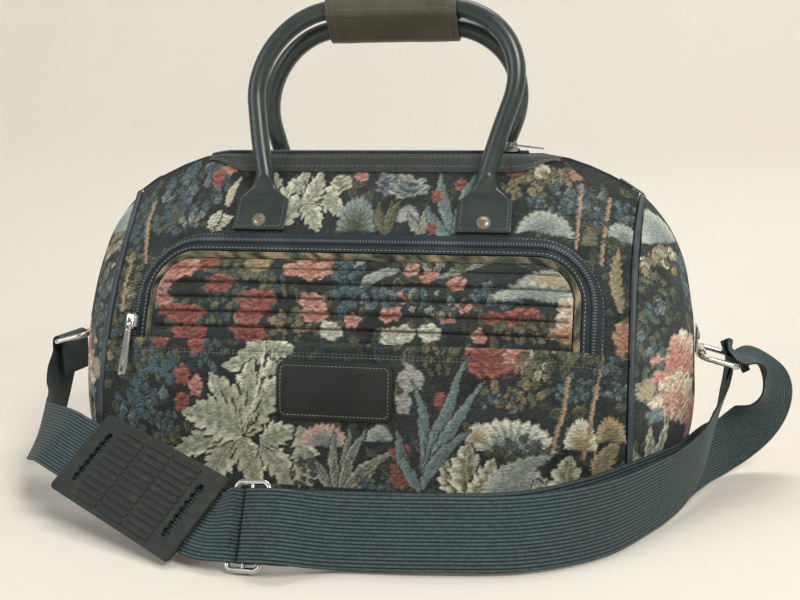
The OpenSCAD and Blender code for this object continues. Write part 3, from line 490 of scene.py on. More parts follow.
# Materials
def finish(name, group, values, bump, depth, roughness=None, metallic=0.0, sheen=0.0, coat=0.0, specular=0.5,
           tint_attribute=False):
    """A material on one shared group. roughness is set here where the group gives none."""
    material = bpy.data.materials.new(name)
    material.use_nodes = True
    n = Nodes(material.node_tree)
    bsdf = material.node_tree.nodes["Principled BSDF"]
    effect = n.add("ShaderNodeGroup", node_tree=groups[group])
    for key, value in values.items():
        effect.inputs[key].default_value = (*value, 1.0) if hasattr(value, "__len__") else value
    if tint_attribute:
        paint = n.add("ShaderNodeVertexColor", layer_name="tint")
        n.tree.links.new(paint.outputs[0], effect.inputs["Tint"])
    n.tree.links.new(effect.outputs["Color"], bsdf.inputs["Base Color"])
    if "Roughness" in effect.outputs:
        n.tree.links.new(effect.outputs["Roughness"], bsdf.inputs["Roughness"])
    else:
        bsdf.inputs["Roughness"].default_value = roughness
    height = effect.outputs["Height"]
    relief = n.add("ShaderNodeBump", {"Height": height, "Strength": bump, "Distance": depth * MM})
    n.tree.links.new(relief.outputs[0], bsdf.inputs["Normal"])
    bsdf.inputs["Metallic"].default_value = metallic
    bsdf.inputs["Specular IOR Level"].default_value = specular
    bsdf.inputs["Sheen Weight"].default_value = sheen
    bsdf.inputs["Coat Weight"].default_value = coat
    bsdf.inputs["Coat Roughness"].default_value = 0.18
    return material


def hide(name, tint, rubbed, grain, wear, gloss, bump, depth, **more):
    """Vinyl, leather, thread or fibre, with pebbled grain. Colours are in 0..255."""
    values = {"Tint": linear(*tint), "Rubbed": linear(*rubbed), "Grain": grain, "Wear": wear, "Gloss": gloss}
    return finish(name, "hide_grain", values, bump, depth, **more)


def hard(name, tint, dull, gloss, spread, bump, depth, **more):
    """Bare metal or moulded plastic, with fine scuffs. Colours are in 0..255."""
    values = {"Tint": linear(*tint), "Dull": linear(*dull), "Gloss": gloss, "Spread": spread}
    return finish(name, "fine_scuffs", values, bump, depth, **more)


tapestry = finish("tapestry", "yarn_weave", {"Row": 1.15, "Pick": 2.3, "Contrast": 0.55}, 0.7, 0.5,
                  roughness=0.92, sheen=0.06, specular=0.2, tint_attribute=True)
handle_vinyl = hide("handle_vinyl", (42, 54, 52), (70, 78, 72), 1100.0, 0.25, 0.33, 0.12, 0.25, coat=0.25)
grip_vinyl = hide("grip_vinyl", (76, 73, 63), (104, 99, 86), 1000.0, 0.35, 0.42, 0.15, 0.25)
facing_vinyl = hide("facing_vinyl", (52, 57, 54), (80, 84, 78), 1000.0, 0.3, 0.42, 0.15, 0.25)
piping_vinyl = hide("piping_vinyl", (52, 60, 66), (104, 110, 110), 1200.0, 0.45, 0.5, 0.2, 0.2)
patch_leather = hide("patch_leather", (34, 38, 36), (60, 63, 57), 700.0, 0.35, 0.55, 0.3, 0.3, specular=0.35)
zip_tape = hide("zip_tape", (44, 53, 58), (70, 80, 84), 2400.0, 0.5, 0.8, 0.5, 0.3, specular=0.2)
zip_coil = hide("zip_coil", (92, 100, 104), (138, 142, 142), 1500.0, 0.4, 0.42, 0.1, 0.1)
thread = hide("thread", (132, 134, 118), (170, 166, 146), 2600.0, 0.6, 0.7, 0.3, 0.15, specular=0.25)
dark_thread = hide("dark_thread", (98, 106, 100), (140, 142, 130), 2600.0, 0.5, 0.65, 0.3, 0.15,
                   specular=0.25)
bright_metal = hard("bright_metal", (206, 205, 200), (150, 148, 142), 0.2, 0.2, 0.05, 0.1, metallic=1.0)
rivet_metal = hard("rivet_metal", (186, 172, 152), (120, 104, 86), 0.26, 0.25, 0.06, 0.1, metallic=1.0)
pad_rubber = hard("pad_rubber", (45, 49, 46), (64, 68, 63), 0.6, 0.3, 0.12, 0.15, specular=0.3)
board_fibre = hide("board_fibre", (110, 104, 92), (140, 132, 116), 500.0, 0.4, 0.8, 0.3, 0.3, specular=0.2)
# The dark groove colour (12, 19, 20) is painted shade in the webbing's grooves.
webbing = finish("webbing", "ribbed_webbing", {"Tint": linear(70, 91, 93), "GrooveShade": linear(12, 19, 20),
                 "Rib": 2.5, "Yarn": 1.7}, 0.8, 0.5, roughness=0.7, sheen=0.05, specular=0.3)


# The tapestry's painting
PALETTE = {name: linear(*rgb) for name, rgb in {
    "ground": (46, 51, 49), "moss": (90, 98, 80), "olive": (120, 118, 92), "deep": (66, 83, 91),
    "blue": (98, 119, 127), "teal": (94, 122, 121), "mist": (138, 150, 146), "silver": (172, 177, 163),
    "cream": (214, 213, 191), "tan": (174, 154, 122), "coral": (164, 106, 93), "red": (120, 72, 66),
    "blush": (200, 162, 146), "lilac": (156, 149, 151), "sage": (140, 148, 126)}.items()}


class Tapestry:
    """Colours of one cloth, painted motif by motif. Places are (x, z) in millimetres on the bag's front."""

    def __init__(self, x, z, seed=1):
        self.shape = x.shape
        x, z = x.ravel(), z.ravel()
        row, col = np.floor(z / 1.5), np.floor(x / 1.9)
        self.x = x + 1.6 * (hash01(row, 1) - 0.5) + 3 * (noise(x / 21, z / 21) - 0.5)
        self.z = z + 1.4 * (hash01(col, 2) - 0.5) + 3 * (noise(x / 19 + 9, z / 19 + 4) - 0.5)
        self.rng = np.random.default_rng(seed)
        cloud = noise(x / 16 + 3, z / 16)[:, None]
        self.rgb = PALETTE["ground"] * (0.7 + 0.75 * cloud) + 0.012 * hash01(row * 31 + col, 3)[:, None]

    def lay_on(self, near, cover, colour):
        self.rgb[near] = mix(self.rgb[near], colour, np.clip(cover, 0, 1)[:, None])

    def yarns(self, near, share, count=4):
        """A blend in a few yarn colours with ragged borders, instead of a smooth one."""
        fleck = noise(self.x[near] / 2.3, self.z[near] / 1.8)
        return np.clip(np.floor(share * count + fleck - 0.5) / (count - 1), 0, 1)[:, None]

    def leaf(self, root, angle, length, half, inner, edge, bow=0.0, teeth=0, outline=0.0):
        """A pointed leaf. bow bends it as a share of its length, teeth cut its edge, outline rims it."""
        a = math.radians(angle)
        dx, dz = self.x - root[0], self.z - root[1]
        u = (dx * math.cos(a) + dz * math.sin(a)) / length
        v = dz * math.cos(a) - dx * math.sin(a) - bow * length * 4 * u * (1 - u)
        near = np.flatnonzero((u > 0) & (u < 1) & (np.abs(v) < half * 1.5 + outline))
        if not len(near):
            return
        u, v = u[near], v[near]
        width = half * np.sin(math.pi * u ** 0.8) ** 0.75
        beat = u * max(teeth, 5) + 0.5 * (v > 0)
        if teeth:
            width = width * (0.74 + 0.4 * (beat % 1))
        if outline:
            self.lay_on(near, (width + outline - np.abs(v)) / 0.8, PALETTE["ground"] * 0.75)
        k = np.abs(v) / np.maximum(width, 0.1)
        vein = 0.5 + 0.5 * np.cos(2 * math.pi * (beat - 0.7 * k))
        tone = mix(PALETTE[inner], PALETTE[edge], self.yarns(near, smooth(0.95 * k + 0.2 * vein - 0.06)))
        rib = smooth(1 - np.abs(v) / 0.9)[:, None]
        tone = mix(tone, PALETTE[edge], 0.6 * rib) * (1 - 0.3 * (v < 0) * smooth(k * 1.5))[:, None]
        self.lay_on(near, (width - np.abs(v)) / 0.9, tone)

    def fan(self, root, leaves, half, inner, edge, **more):
        """Leaves from one root, each (angle, length, bow)."""
        for angle, length, bow in leaves:
            self.leaf(root, angle, length, half, inner, edge, bow=bow, **more)

    def acanthus(self, root, lobes, inner="sage", edge="cream"):
        """Curling toothed lobes from one root, each (angle, length, half width, bow)."""
        for angle, length, half, bow in lobes:
            teeth = max(3, int(length / 9))
            self.leaf(root, angle, length, 1.2 * half, inner, edge, bow=bow, teeth=teeth, outline=2.0)

    def bloom(self, at, wide, tall, core, petal, petals=5):
        """A ragged flower: petals hatched in a few yarns, with dark strokes between them."""
        dx, dz = (self.x - at[0]) / wide, (self.z - at[1]) / tall
        r = np.hypot(dx, dz)
        near = np.flatnonzero(r < 1.25)
        if not len(near):
            return
        x, z, turn = self.x[near], self.z[near], np.arctan2(dz[near], dx[near])
        wave = np.cos(petals * turn + at[0] + 2.2 * noise(x / 7, z / 7))
        rim = 0.86 + 0.06 * wave + 0.36 * (noise(x / 5 + at[1], z / 3.6 + at[0]) - 0.3)
        k = r[near] / rim
        slant = (z - 0.5 * x * np.sign(dx[near])) / 5.2
        stroke = 0.5 + 0.5 * np.cos(2 * math.pi * slant + 4 * noise(x / 6, z / 6))
        share = 0.42 * stroke + 0.36 * noise(x / 4.2, z / 3 + at[0]) + 0.4 * smooth(1.2 * k - 0.2)
        share = share + 0.14 * dz[near] - 0.12
        tone = mix(PALETTE[core], PALETTE[petal], self.yarns(near, share))
        gap = smooth((-wave - 0.5) / 0.3) * smooth(2 * k - 0.5) * (stroke < 0.6)
        tone = mix(tone, PALETTE["ground"], 0.55 * gap[:, None])
        hatch = np.modf(np.abs(z / 3.1 + 0.5 * noise(x / 6, z / 9)))[0] > 0.7
        tone = mix(tone, PALETTE["ground"], 0.3 * hatch[:, None])
        self.lay_on(near, (1 - k) * min(wide, tall), tone)

    def foliage(self, at, wide, tall, count, size, *colours):
        """A clump of small overlapping leaves."""
        r, a = np.sqrt(self.rng.random(count)), 2 * math.pi * self.rng.random(count)
        places = np.stack([at[0] + wide * r * np.cos(a), at[1] + tall * r * np.sin(a)], -1)
        for place in places[np.argsort(-places[:, 1])]:
            colour = colours[self.rng.integers(len(colours))]
            inner = "deep" if colour in ("blue", "teal", "mist") else "moss"
            length = size * self.rng.uniform(1.6, 3.0)
            self.leaf(place, self.rng.uniform(20, 160), length, 0.38 * length, inner, colour,
                      bow=self.rng.uniform(-0.1, 0.1), outline=0.7)

    def hill(self, at, wide, tall, body, tip):
        """A feathered mound: strokes that fan out to a light rim."""
        dx, dz = (self.x - at[0]) / wide, (self.z - at[1] + tall) / (2 * tall)
        near = np.flatnonzero((np.abs(dx) < 1) & (dz > 0) & (dz < 1))
        if not len(near):
            return
        dx, dz = dx[near], dz[near]
        k = np.hypot(dx, dz)
        stroke = 0.5 + 0.5 * np.cos(26 * np.arctan2(dz, dx))
        tone = mix(PALETTE[body], PALETTE[tip], self.yarns(near, smooth(1.2 * k + 0.5 * stroke - 0.5)))
        tone = tone * (0.7 + 0.4 * k)[:, None]
        self.lay_on(near, np.minimum((0.92 + 0.08 * stroke - k) * tall, dz * 2 * tall) / 0.9, tone)

    def trunk(self, foot, top, half, lean=0.0):
        """A slender banded trunk."""
        span = np.subtract(top, foot)
        length = float(np.hypot(*span))
        along = span / length
        dx, dz = self.x - foot[0], self.z - foot[1]
        u = (dx * along[0] + dz * along[1]) / length
        v = dz * along[0] - dx * along[1] - lean * length * 4 * u * (1 - u)
        near = np.flatnonzero((u > 0) & (u < 1) & (np.abs(v) < half + 1))
        band = (np.modf(u[near] * length / 3.2)[0] > 0.4)[:, None]
        tone = np.where(band, PALETTE["tan"], PALETTE["blush"] * 0.8) * (1 - 0.35 * (v[near] > 0))[:, None]
        self.lay_on(near, (half - np.abs(v[near])) / 0.7, tone)

    def undergrowth(self, box, count, size, *colours):
        """Scattered dim leaves that fill the ground."""
        for _ in range(count):
            place = self.rng.uniform(box[0], box[1]), self.rng.uniform(box[2], box[3])
            colour = colours[self.rng.integers(len(colours))]
            length = size * self.rng.uniform(0.8, 1.8)
            self.leaf(place, self.rng.uniform(0, 180), length, 0.3 * length, "ground", colour)

    def colours(self):
        return self.rgb.reshape(*self.shape, 3)


def paint_lower(cloth):
    """Below the hem: an acanthus on the left, sword leaves in the middle, trees on a bank on the right."""
    cloth.undergrowth((-215, 215, -10, 135), 260, 9, "moss", "deep", "olive")
    cloth.foliage((-190, 110), 20, 12, 26, 4, "olive", "moss", "tan")
    cloth.foliage((-170, 100), 28, 15, 46, 4, "blue", "teal", "moss")
    cloth.foliage((-172, 68), 32, 15, 56, 4, "blue", "deep", "teal", "mist")
    cloth.foliage((-150, 44), 22, 10, 24, 3.5, "moss", "teal", "olive")
    cloth.foliage((-116, 112), 14, 12, 18, 3.2, "blue", "deep")
    cloth.foliage((-170, 20), 30, 14, 22, 4, "moss", "olive")
    for spot, core in (((-140, 98), "red"), ((-128, 90), "coral"), ((-140, 79), "red"), ((-129, 121), "red")):
        cloth.bloom(spot, 7, 8.5, core, "blush" if core == "coral" else "coral")
    cloth.bloom((-160, 122), 8, 6, "red", "coral")
    cloth.acanthus((-68, 68), [(77, 62, 9, 0.03)])
    cloth.acanthus((-70, 127), [(211, 42, 9, 0.15), (345, 26, 7, -0.2)])
    cloth.acanthus((-90, 52), [
        (200, 70, 9, -0.1), (234, 64, 11, -0.05), (282, 46, 11, 0.05), (51, 64, 11, 0.06), (80, 62, 10, 0.04),
        (118, 56, 12, -0.05), (160, 54, 15, -0.12)])
    cloth.acanthus((-74, 47), [(303, 54, 11, 0.06), (22, 34, 9, 0.1)])
    cloth.acanthus((-42, 64), [(266, 66, 9, 0.1)])
    cloth.leaf((-92, 56), 72, 72, 1.8, "cream", "cream", bow=-0.07)
    cloth.hill((-22, 57), 22, 10, "mist", "blush")
    cloth.hill((22, 60), 12, 7, "mist", "silver")
    cloth.fan((-12, 3), [(118, 46, 0.05), (92, 58, 0.04), (80, 62, -0.03), (68, 66, 0.04), (50, 54, -0.06),
                         (42, 68, 0.08)], 4.6, "moss", "silver", outline=1.0)
    cloth.foliage((-37, 22), 9, 13, 12, 3, "moss", "deep")
    cloth.foliage((20, 17), 13, 7, 14, 2.8, "blue", "mist")
    cloth.bloom((40, 46), 9, 7.5, "red", "coral")
    cloth.bloom((38, 27), 8, 12, "red", "coral")
    cloth.bloom((47, 102), 11, 10, "lilac", "silver")
    cloth.bloom((42, 84), 7, 9, "lilac", "silver")
    cloth.bloom((70, 87), 5, 8.5, "red", "coral")
    cloth.foliage((68, 112), 14, 11, 18, 3.2, "moss", "olive")
    cloth.bloom((98, 130), 11, 9, "coral", "blush")
    cloth.bloom((110, 117), 23, 15, "red", "coral", petals=7)
    cloth.bloom((132, 121), 13, 12, "coral", "blush")
    cloth.foliage((145, 113), 15, 12, 20, 3.5, "tan", "olive", "cream")
    cloth.foliage((127, 91), 24, 10, 28, 3.2, "tan", "olive")
    cloth.foliage((121, 83), 16, 6, 14, 2.4, "blue", "lilac")
    cloth.bloom((165, 125), 11, 6.5, "coral", "tan")
    cloth.foliage((158, 116), 16, 10, 18, 3.4, "moss", "olive")
    cloth.foliage((167, 99), 17, 13, 30, 3, "blue", "mist", "deep")
    cloth.foliage((202, 107), 16, 17, 34, 3, "blue", "mist", "deep")
    cloth.hill((127, 64), 37, 13, "mist", "cream")
    cloth.hill((101, 65), 12, 8, "tan", "cream")
    cloth.foliage((140, 52), 22, 8, 34, 2.8, "moss", "mist", "olive")
    cloth.hill((178, 68), 13, 13, "tan", "cream")
    cloth.hill((201, 72), 13, 10, "olive", "tan")
    cloth.trunk((157, 50), (169, 108), 1.9)
    cloth.trunk((181, 48), (191, 104), 1.9)
    cloth.trunk((191, 103), (193, 126), 1.0)
    cloth.acanthus((92, 12), [(120, 36, 9, 0.12), (88, 46, 12, 0.03), (58, 40, 9, -0.12)], "olive", "cream")
    cloth.hill((131, 26), 32, 17, "mist", "silver")
    cloth.leaf((108, 15), 34, 62, 8.5, "mist", "silver", bow=0.08, teeth=7)
    cloth.acanthus((170, 8), [(140, 34, 9, 0.1), (88, 43, 12, 0.03), (52, 30, 8, -0.1)], "olive", "cream")
    cloth.leaf((190, 34), 58, 34, 9, "olive", "tan", bow=0.06, teeth=5, outline=1.2)
    cloth.fan((190, 6), [(66, 38, 0.05), (52, 30, -0.05), (84, 30, 0.05)], 4.6, "moss", "silver", outline=1.0)
    cloth.fan((54, 14), [(108, 54, 0.06), (94, 88, -0.1), (70, 114, 0.02), (60, 104, 0.04), (52, 68, 0.08),
                         (112, 34, 0.05)], 5.2, "teal", "mist", outline=1.0)


def paint_pocket(cloth):
    """On the pocket: two red flowers in olive leaves on the left, smaller sprays on the right."""
    cloth.undergrowth((-180, 180, 112, 205), 200, 8, "moss", "deep", "olive")
    cloth.foliage((-100, 187), 34, 17, 50, 4.2, "moss", "olive")
    cloth.foliage((-92, 160), 40, 13, 48, 3.8, "moss", "olive", "deep")
    cloth.foliage((-132, 143), 36, 13, 36, 3.8, "moss", "olive", "deep")
    cloth.foliage((-58, 133), 40, 13, 36, 3.4, "olive", "tan", "moss")
    for spot, wide, tall, core, petal in (
            ((-143, 189), 26, 15, "red", "coral"), ((-153, 181), 19, 12, "coral", "blush"),
            ((-167, 170), 13, 11, "blush", "coral"), ((-117, 166), 13, 7.5, "red", "coral"),
            ((-166, 155), 13, 7, "coral", "blush"), ((-84, 185), 13, 10, "tan", "olive"),
            ((-38, 189), 24, 13, "red", "coral"), ((-43, 178), 23, 9, "coral", "blush"),
            ((-83, 155), 19, 8, "red", "coral"), ((-35, 155), 13, 7, "coral", "blush"),
            ((-145, 145), 20, 8, "red", "coral"), ((-88, 144), 13, 8, "red", "coral"),
            ((-32, 145), 15, 7, "coral", "blush"), ((-138, 130), 17, 9, "red", "coral"),
            ((-87, 131), 17, 8, "red", "coral")):
        cloth.bloom(spot, wide, tall, core, petal, petals=6)
    cloth.foliage((-6, 170), 11, 28, 34, 3.8, "blue", "teal")
    cloth.leaf((-5, 181), 20, 44, 5.4, "mist", "silver", bow=0.2, outline=1)
    cloth.leaf((2, 167), 20, 36, 5, "mist", "silver", bow=0.06, outline=1)
    cloth.foliage((20, 158), 20, 9, 26, 3.3, "mist", "blue")
    cloth.fan((62, 172), [(140, 34, -0.1), (112, 30, 0.08), (70, 30, 0.06), (40, 34, -0.08), (20, 62, 0.04)],
              3.4, "moss", "silver", outline=0.8)
    cloth.foliage((62, 187), 26, 10, 26, 2.8, "moss", "deep", "lilac")
    for spot in ((96, 198), (110, 199), (133, 198)):
        cloth.bloom(spot, 7, 6, "lilac", "blush")
    for spot in ((58, 175), (43, 179), (79, 170), (40, 159), (85, 153), (31, 147), (98, 134), (72, 146),
                 (-2, 143), (26, 146)):
        cloth.bloom(spot, 7.5, 6, "coral", "blush")
    cloth.foliage((60, 152), 26, 10, 36, 2.8, "blue", "deep", "silver")
    for spot in ((41, 132), (61, 134), (31, 130), (-19, 134)):
        cloth.bloom(spot, 10, 7.5, "silver", "cream")
    cloth.foliage((112, 160), 26, 7, 32, 3, "mist", "blue")
    cloth.bloom((152, 201), 14, 6, "coral", "tan")
    cloth.leaf((160, 197), 322, 26, 4, "tan", "cream", bow=0.1)
    cloth.hill((154, 177), 28, 7, "tan", "mist")
    cloth.hill((143, 166), 40, 7, "mist", "silver")
    cloth.bloom((168, 156), 13, 8, "blush", "cream")
    cloth.bloom((128, 147), 30, 7, "red", "coral", petals=9)
    cloth.bloom((165, 145), 13, 7, "blush", "cream")
    cloth.foliage((138, 136), 28, 8, 34, 3, "olive", "moss", "red")
    cloth.bloom((163, 136), 13, 6, "coral", "tan")


def paint_upper(cloth):
    """Above the pocket: blue foliage, a cream acanthus, drooping lilac flowers, and trees on the right."""
    cloth.undergrowth((-222, 222, 120, 282), 330, 8, "moss", "deep", "olive")
    cloth.foliage((-160, 248), 32, 22, 62, 4, "blue", "teal", "deep", "mist")
    cloth.foliage((-172, 222), 24, 12, 36, 3.6, "blue", "teal", "moss")
    cloth.foliage((-204, 226), 9, 34, 36, 3.6, "teal", "blue", "moss")
    cloth.foliage((-203, 178), 9, 26, 26, 3.6, "olive", "moss", "tan")
    cloth.foliage((-205, 140), 10, 18, 22, 3.6, "moss", "teal", "olive")
    cloth.foliage((-156, 221), 13, 7, 12, 3.2, "silver", "mist")
    cloth.bloom((-130, 264), 8, 6, "coral", "tan")
    cloth.bloom((-141, 257), 6, 8.5, "red", "coral")
    cloth.leaf((-128, 232), 70, 26, 4, "tan", "cream", bow=0.1)
    cloth.acanthus((-139, 214), [(30, 22, 5, 0.05), (65, 18, 4, 0.05)])
    cloth.trunk((-192, 190), (-199, 250), 2.0, lean=0.04)
    cloth.trunk((-204, 150), (-207, 196), 1.7)
    cloth.acanthus((-84, 213), [(98, 52, 11, 0.05), (64, 56, 9, 0.05), (40, 44, 9, 0.12), (128, 30, 7, 0.1)])
    cloth.acanthus((-62, 236), [(340, 40, 9, 0.3), (306, 30, 8, 0.1), (62, 30, 8, -0.1)])
    cloth.leaf((-85, 215), 74, 50, 1.3, "cream", "cream", bow=-0.05)
    cloth.bloom((-29, 252), 10, 9, "olive", "cream")
    cloth.bloom((-13, 258), 6, 5.5, "coral", "blush")
    cloth.hill((-12, 228), 18, 14, "moss", "mist")
    cloth.bloom((10, 252), 12, 10, "deep", "lilac", petals=7)
    cloth.bloom((29, 249), 19, 11, "deep", "silver", petals=9)
    cloth.fan((14, 212), [(108, 28, 0.1), (84, 27, -0.1), (66, 28, 0.1)], 5, "moss", "olive", outline=1)
    cloth.hill((32, 228), 11, 7, "silver", "mist")
    cloth.fan((46, 212), [(130, 22, 0.1), (84, 20, 0.05)], 3.6, "olive", "silver", outline=1)
    cloth.fan((71, 212), [(136, 34, 0.15), (108, 54, 0.06), (74, 54, 0.04)], 5, "teal", "mist", outline=1)
    for spot in ((72, 251), (54, 241), (53, 217)):
        cloth.bloom(spot, 5, 6, "red", "coral")
    cloth.bloom((122, 262), 14, 7, "red", "coral")
    cloth.bloom((140, 261), 10, 7.5, "tan", "cream")
    cloth.bloom((162, 263), 11, 5, "coral", "tan")
    cloth.foliage((130, 248), 22, 10, 28, 3.2, "tan", "olive")
    cloth.foliage((156, 257), 13, 6, 14, 2.8, "tan", "olive")
    cloth.foliage((160, 245), 11, 8, 14, 3, "blue", "mist")
    cloth.foliage((181, 240), 13, 17, 36, 3.1, "blue", "deep", "mist")
    cloth.foliage((147, 234), 22, 6, 28, 2.4, "teal", "mist")
    cloth.hill((144, 223), 25, 9, "mist", "silver")
    cloth.trunk((169, 206), (172, 259), 1.7)
    cloth.trunk((191, 196), (195, 257), 1.7)
    cloth.hill((180, 218), 8, 8, "olive", "moss")
    cloth.foliage((201, 216), 7, 22, 22, 3, "moss", "deep")
    cloth.hill((207, 230), 13, 9, "mist", "silver")
    cloth.leaf((205, 160), 90, 56, 5.5, "olive", "tan", bow=0.05, teeth=8, outline=1)
    cloth.foliage((210, 247), 12, 10, 18, 3, "mist", "teal")
    cloth.bloom((208, 141), 9, 17, "coral", "tan")


def paint_end(cloth):
    """On the ends: a pale crown of leaves, a large flower, and blades at its foot. Places are (y, z)."""
    cloth.undergrowth((-125, 125, -10, 245), 260, 10, "moss", "deep", "olive")
    for side in (-1, 1):
        cloth.hill((side * 26, 222), 20, 16, "mist", "silver")
        cloth.foliage((side * 48, 192), 24, 14, 28, 4, "olive", "tan", "cream")
        cloth.foliage((side * 66, 166), 22, 14, 26, 3.6, "moss", "mist")
        cloth.foliage((side * 80, 145), 20, 14, 22, 3.6, "moss", "teal")
        cloth.bloom((side * 40, 124), 22, 14, "blush", "cream")
        cloth.bloom((side * 56, 108), 34, 24, "coral", "blush", petals=7)
        cloth.bloom((side * 60, 86), 34, 22, "coral", "cream", petals=7)
        cloth.bloom((side * 28, 64), 22, 19, "coral", "blush")
        cloth.foliage((side * 88, 122), 16, 19, 26, 3.6, "teal", "moss", "mist")
        cloth.bloom((side * 95, 97), 12, 11, "tan", "mist")
        cloth.bloom((side * 90, 76), 10, 7, "blue", "mist")
        blades = [(90 + side * 18, 52, 0.06), (90 - side * 8, 46, 0.05), (90 - side * 36, 44, 0.08),
                  (90 - side * 62, 40, 0.1)]
        cloth.fan((side * 90, 26), blades, 5, "moss", "cream", outline=1)
        cloth.bloom((side * 105, 32), 7, 8, "lilac", "blush")
        cloth.bloom((side * 94, 13), 11, 9, "blush", "cream")
        cloth.bloom((side * 80, 17), 9, 7, "lilac", "blush")
        cloth.foliage((side * 40, 22), 34, 16, 24, 4.4, "moss", "olive", "teal")
    cloth.acanthus((0, 22), [(60, 40, 10, 0.1), (120, 40, 10, -0.1), (90, 50, 11, 0.02)], "olive", "tan")
    cloth.foliage((0, 168), 26, 24, 34, 4.2, "blue", "teal", "mist")


# Cloth panels
def lay_uv(grid):
    """A cloth's own lay in millimetres, across and up, from the lengths along its middle row and column."""
    rows, cols = grid.shape[:2]
    run = lambda p: np.r_[0, np.cumsum(np.linalg.norm(np.diff(p, axis=0), axis=1))]
    across = run(grid[rows // 2])
    return np.stack(np.meshgrid(across - across.mean(), run(grid[:, cols // 2])), -1)


def soft_waves(x, z, seed):
    """Slack in the cloth: broad soft waves in -1..1."""
    broad = noise(x / 78 + seed, z / 62 + 2 * seed) - 0.5
    small = noise(x / 31 + 3 * seed, z / 27 + seed) - 0.5
    return 1.5 * broad + 0.7 * small


def wall_rows():
    """Rows of a wall, close together above the hem and wide apart where the lower panel hides it."""
    return np.r_[np.linspace(-1, 0, 9)[:-1], np.linspace(0, level(HEM_H - 10), 12)[:-1],
                 np.linspace(level(HEM_H - 10), 1, 190)]


def wall_panel(name, rows, columns, slack, paint, seed, back=False):
    t, c = np.meshgrid(rows, np.linspace(-1, 1, columns), indexing="ij")
    s = c * (1 - SEAM_GAP / seam_x(t))
    x, z = s * seam_x(t), np.where(t < 0, BASE_EDGE_R * t, profile(MIDDLE, t)[..., 1])
    to_seam = 1 - np.abs(c)
    edge = smooth(to_seam / 0.12) * smooth((BODY_H - 12 - z) / 30) * smooth(z / 20)
    gathers = 0.5 * np.sin(z / 2.3 + 3 * noise(x / 9, z / 9))
    pucker = gathers * smooth(1 - to_seam / 0.06) * smooth((250 - z) / 30)
    off = slack(x, z, edge) + pucker * smooth(to_seam / 0.02)
    cloth = Tapestry(x, z, seed)
    for fill in paint:
        fill(cloth)
    grid = wall(s, t, off)
    uv = lay_uv(grid)
    if back:
        grid = grid * (1, -1, 1)
    return shell(name, grid, SKIN_T, tapestry, uv, cloth.colours(), flip=back)


def clear_of_tabs(x, z):
    """0 under the handles' tabs, 1 away from them."""
    return 1 - smooth(1.6 - np.hypot((np.abs(x) - HANDLE_SPAN / 2) / 30, (z - 232) / 24))


def front_slack(x, z, edge):
    """The front wall stays under the pocket's pieces, so its waves only show beside and above them."""
    clear = smooth(-inset(x, z) / 14) * smooth((z - 20) / 20)
    return 2.2 * edge * clear * clear_of_tabs(x, z) * soft_waves(x, z, 1) - 0.1


def back_slack(x, z, edge):
    return 3.0 * edge * clear_of_tabs(x, z) * soft_waves(x, z, 5) - 0.1


front_cloth = dress(wall_panel("front_cloth", wall_rows(), 380, front_slack, [paint_upper], 11),
                    "bag", "tapestry", "front_panel")
back_rows = np.r_[np.linspace(-1, 0, 9)[:-1], np.linspace(0, 1, 150)]
back_paint = [paint_upper, paint_pocket, paint_lower]
back_cloth = wall_panel("back_cloth", back_rows, 210, back_slack, back_paint, 23, back=True)
dress(back_cloth, "bag", "tapestry", "back_panel")


def lower_panel():
    hem_level = float(level(HEM_H))
    rows = np.r_[np.linspace(-0.5, 0, 8)[:-1], np.linspace(0, hem_level, 122)]
    t, c = np.meshgrid(rows, np.linspace(-1, 1, 390), indexing="ij")
    s = c * (1 - SEAM_GAP / seam_x(t))
    x, z = s * seam_x(t), np.where(t < 0, BASE_EDGE_R * t, profile(MIDDLE, t)[..., 1])
    edge = smooth((1 - np.abs(c)) / 0.1) * smooth(z / 25) * smooth((HEM_H - 4 - z) / 18)
    beside_patch = np.abs(x - PATCH_X) / (PATCH_W / 2 + 14)
    above_patch = np.abs(z - PATCH_Z) / (PATCH_H / 2 + 12)
    patch_room = smooth(np.maximum(beside_patch, above_patch) * 3 - 2)
    waves = 1.6 * edge * patch_room * (soft_waves(x, z, 9) + 0.4)
    seam_dip = -0.7 * smooth(1 - np.abs(z - (HEM_H - 9)) / 2.2)
    hem_roll = 1.3 * smooth(1 - np.abs(z - (HEM_H - 3.5)) / 4.5)
    off = lower_lift(x, np.maximum(z, 0)) + CLOTH_T + waves + seam_dip + hem_roll
    cloth = Tapestry(x, z, 31)
    paint_lower(cloth)
    grid = wall(s, t, off)
    return shell("lower_cloth", grid, SKIN_T, tapestry, lay_uv(grid), cloth.colours())


lower_cloth = dress(lower_panel(), "bag", "tapestry", "lower_front_panel")


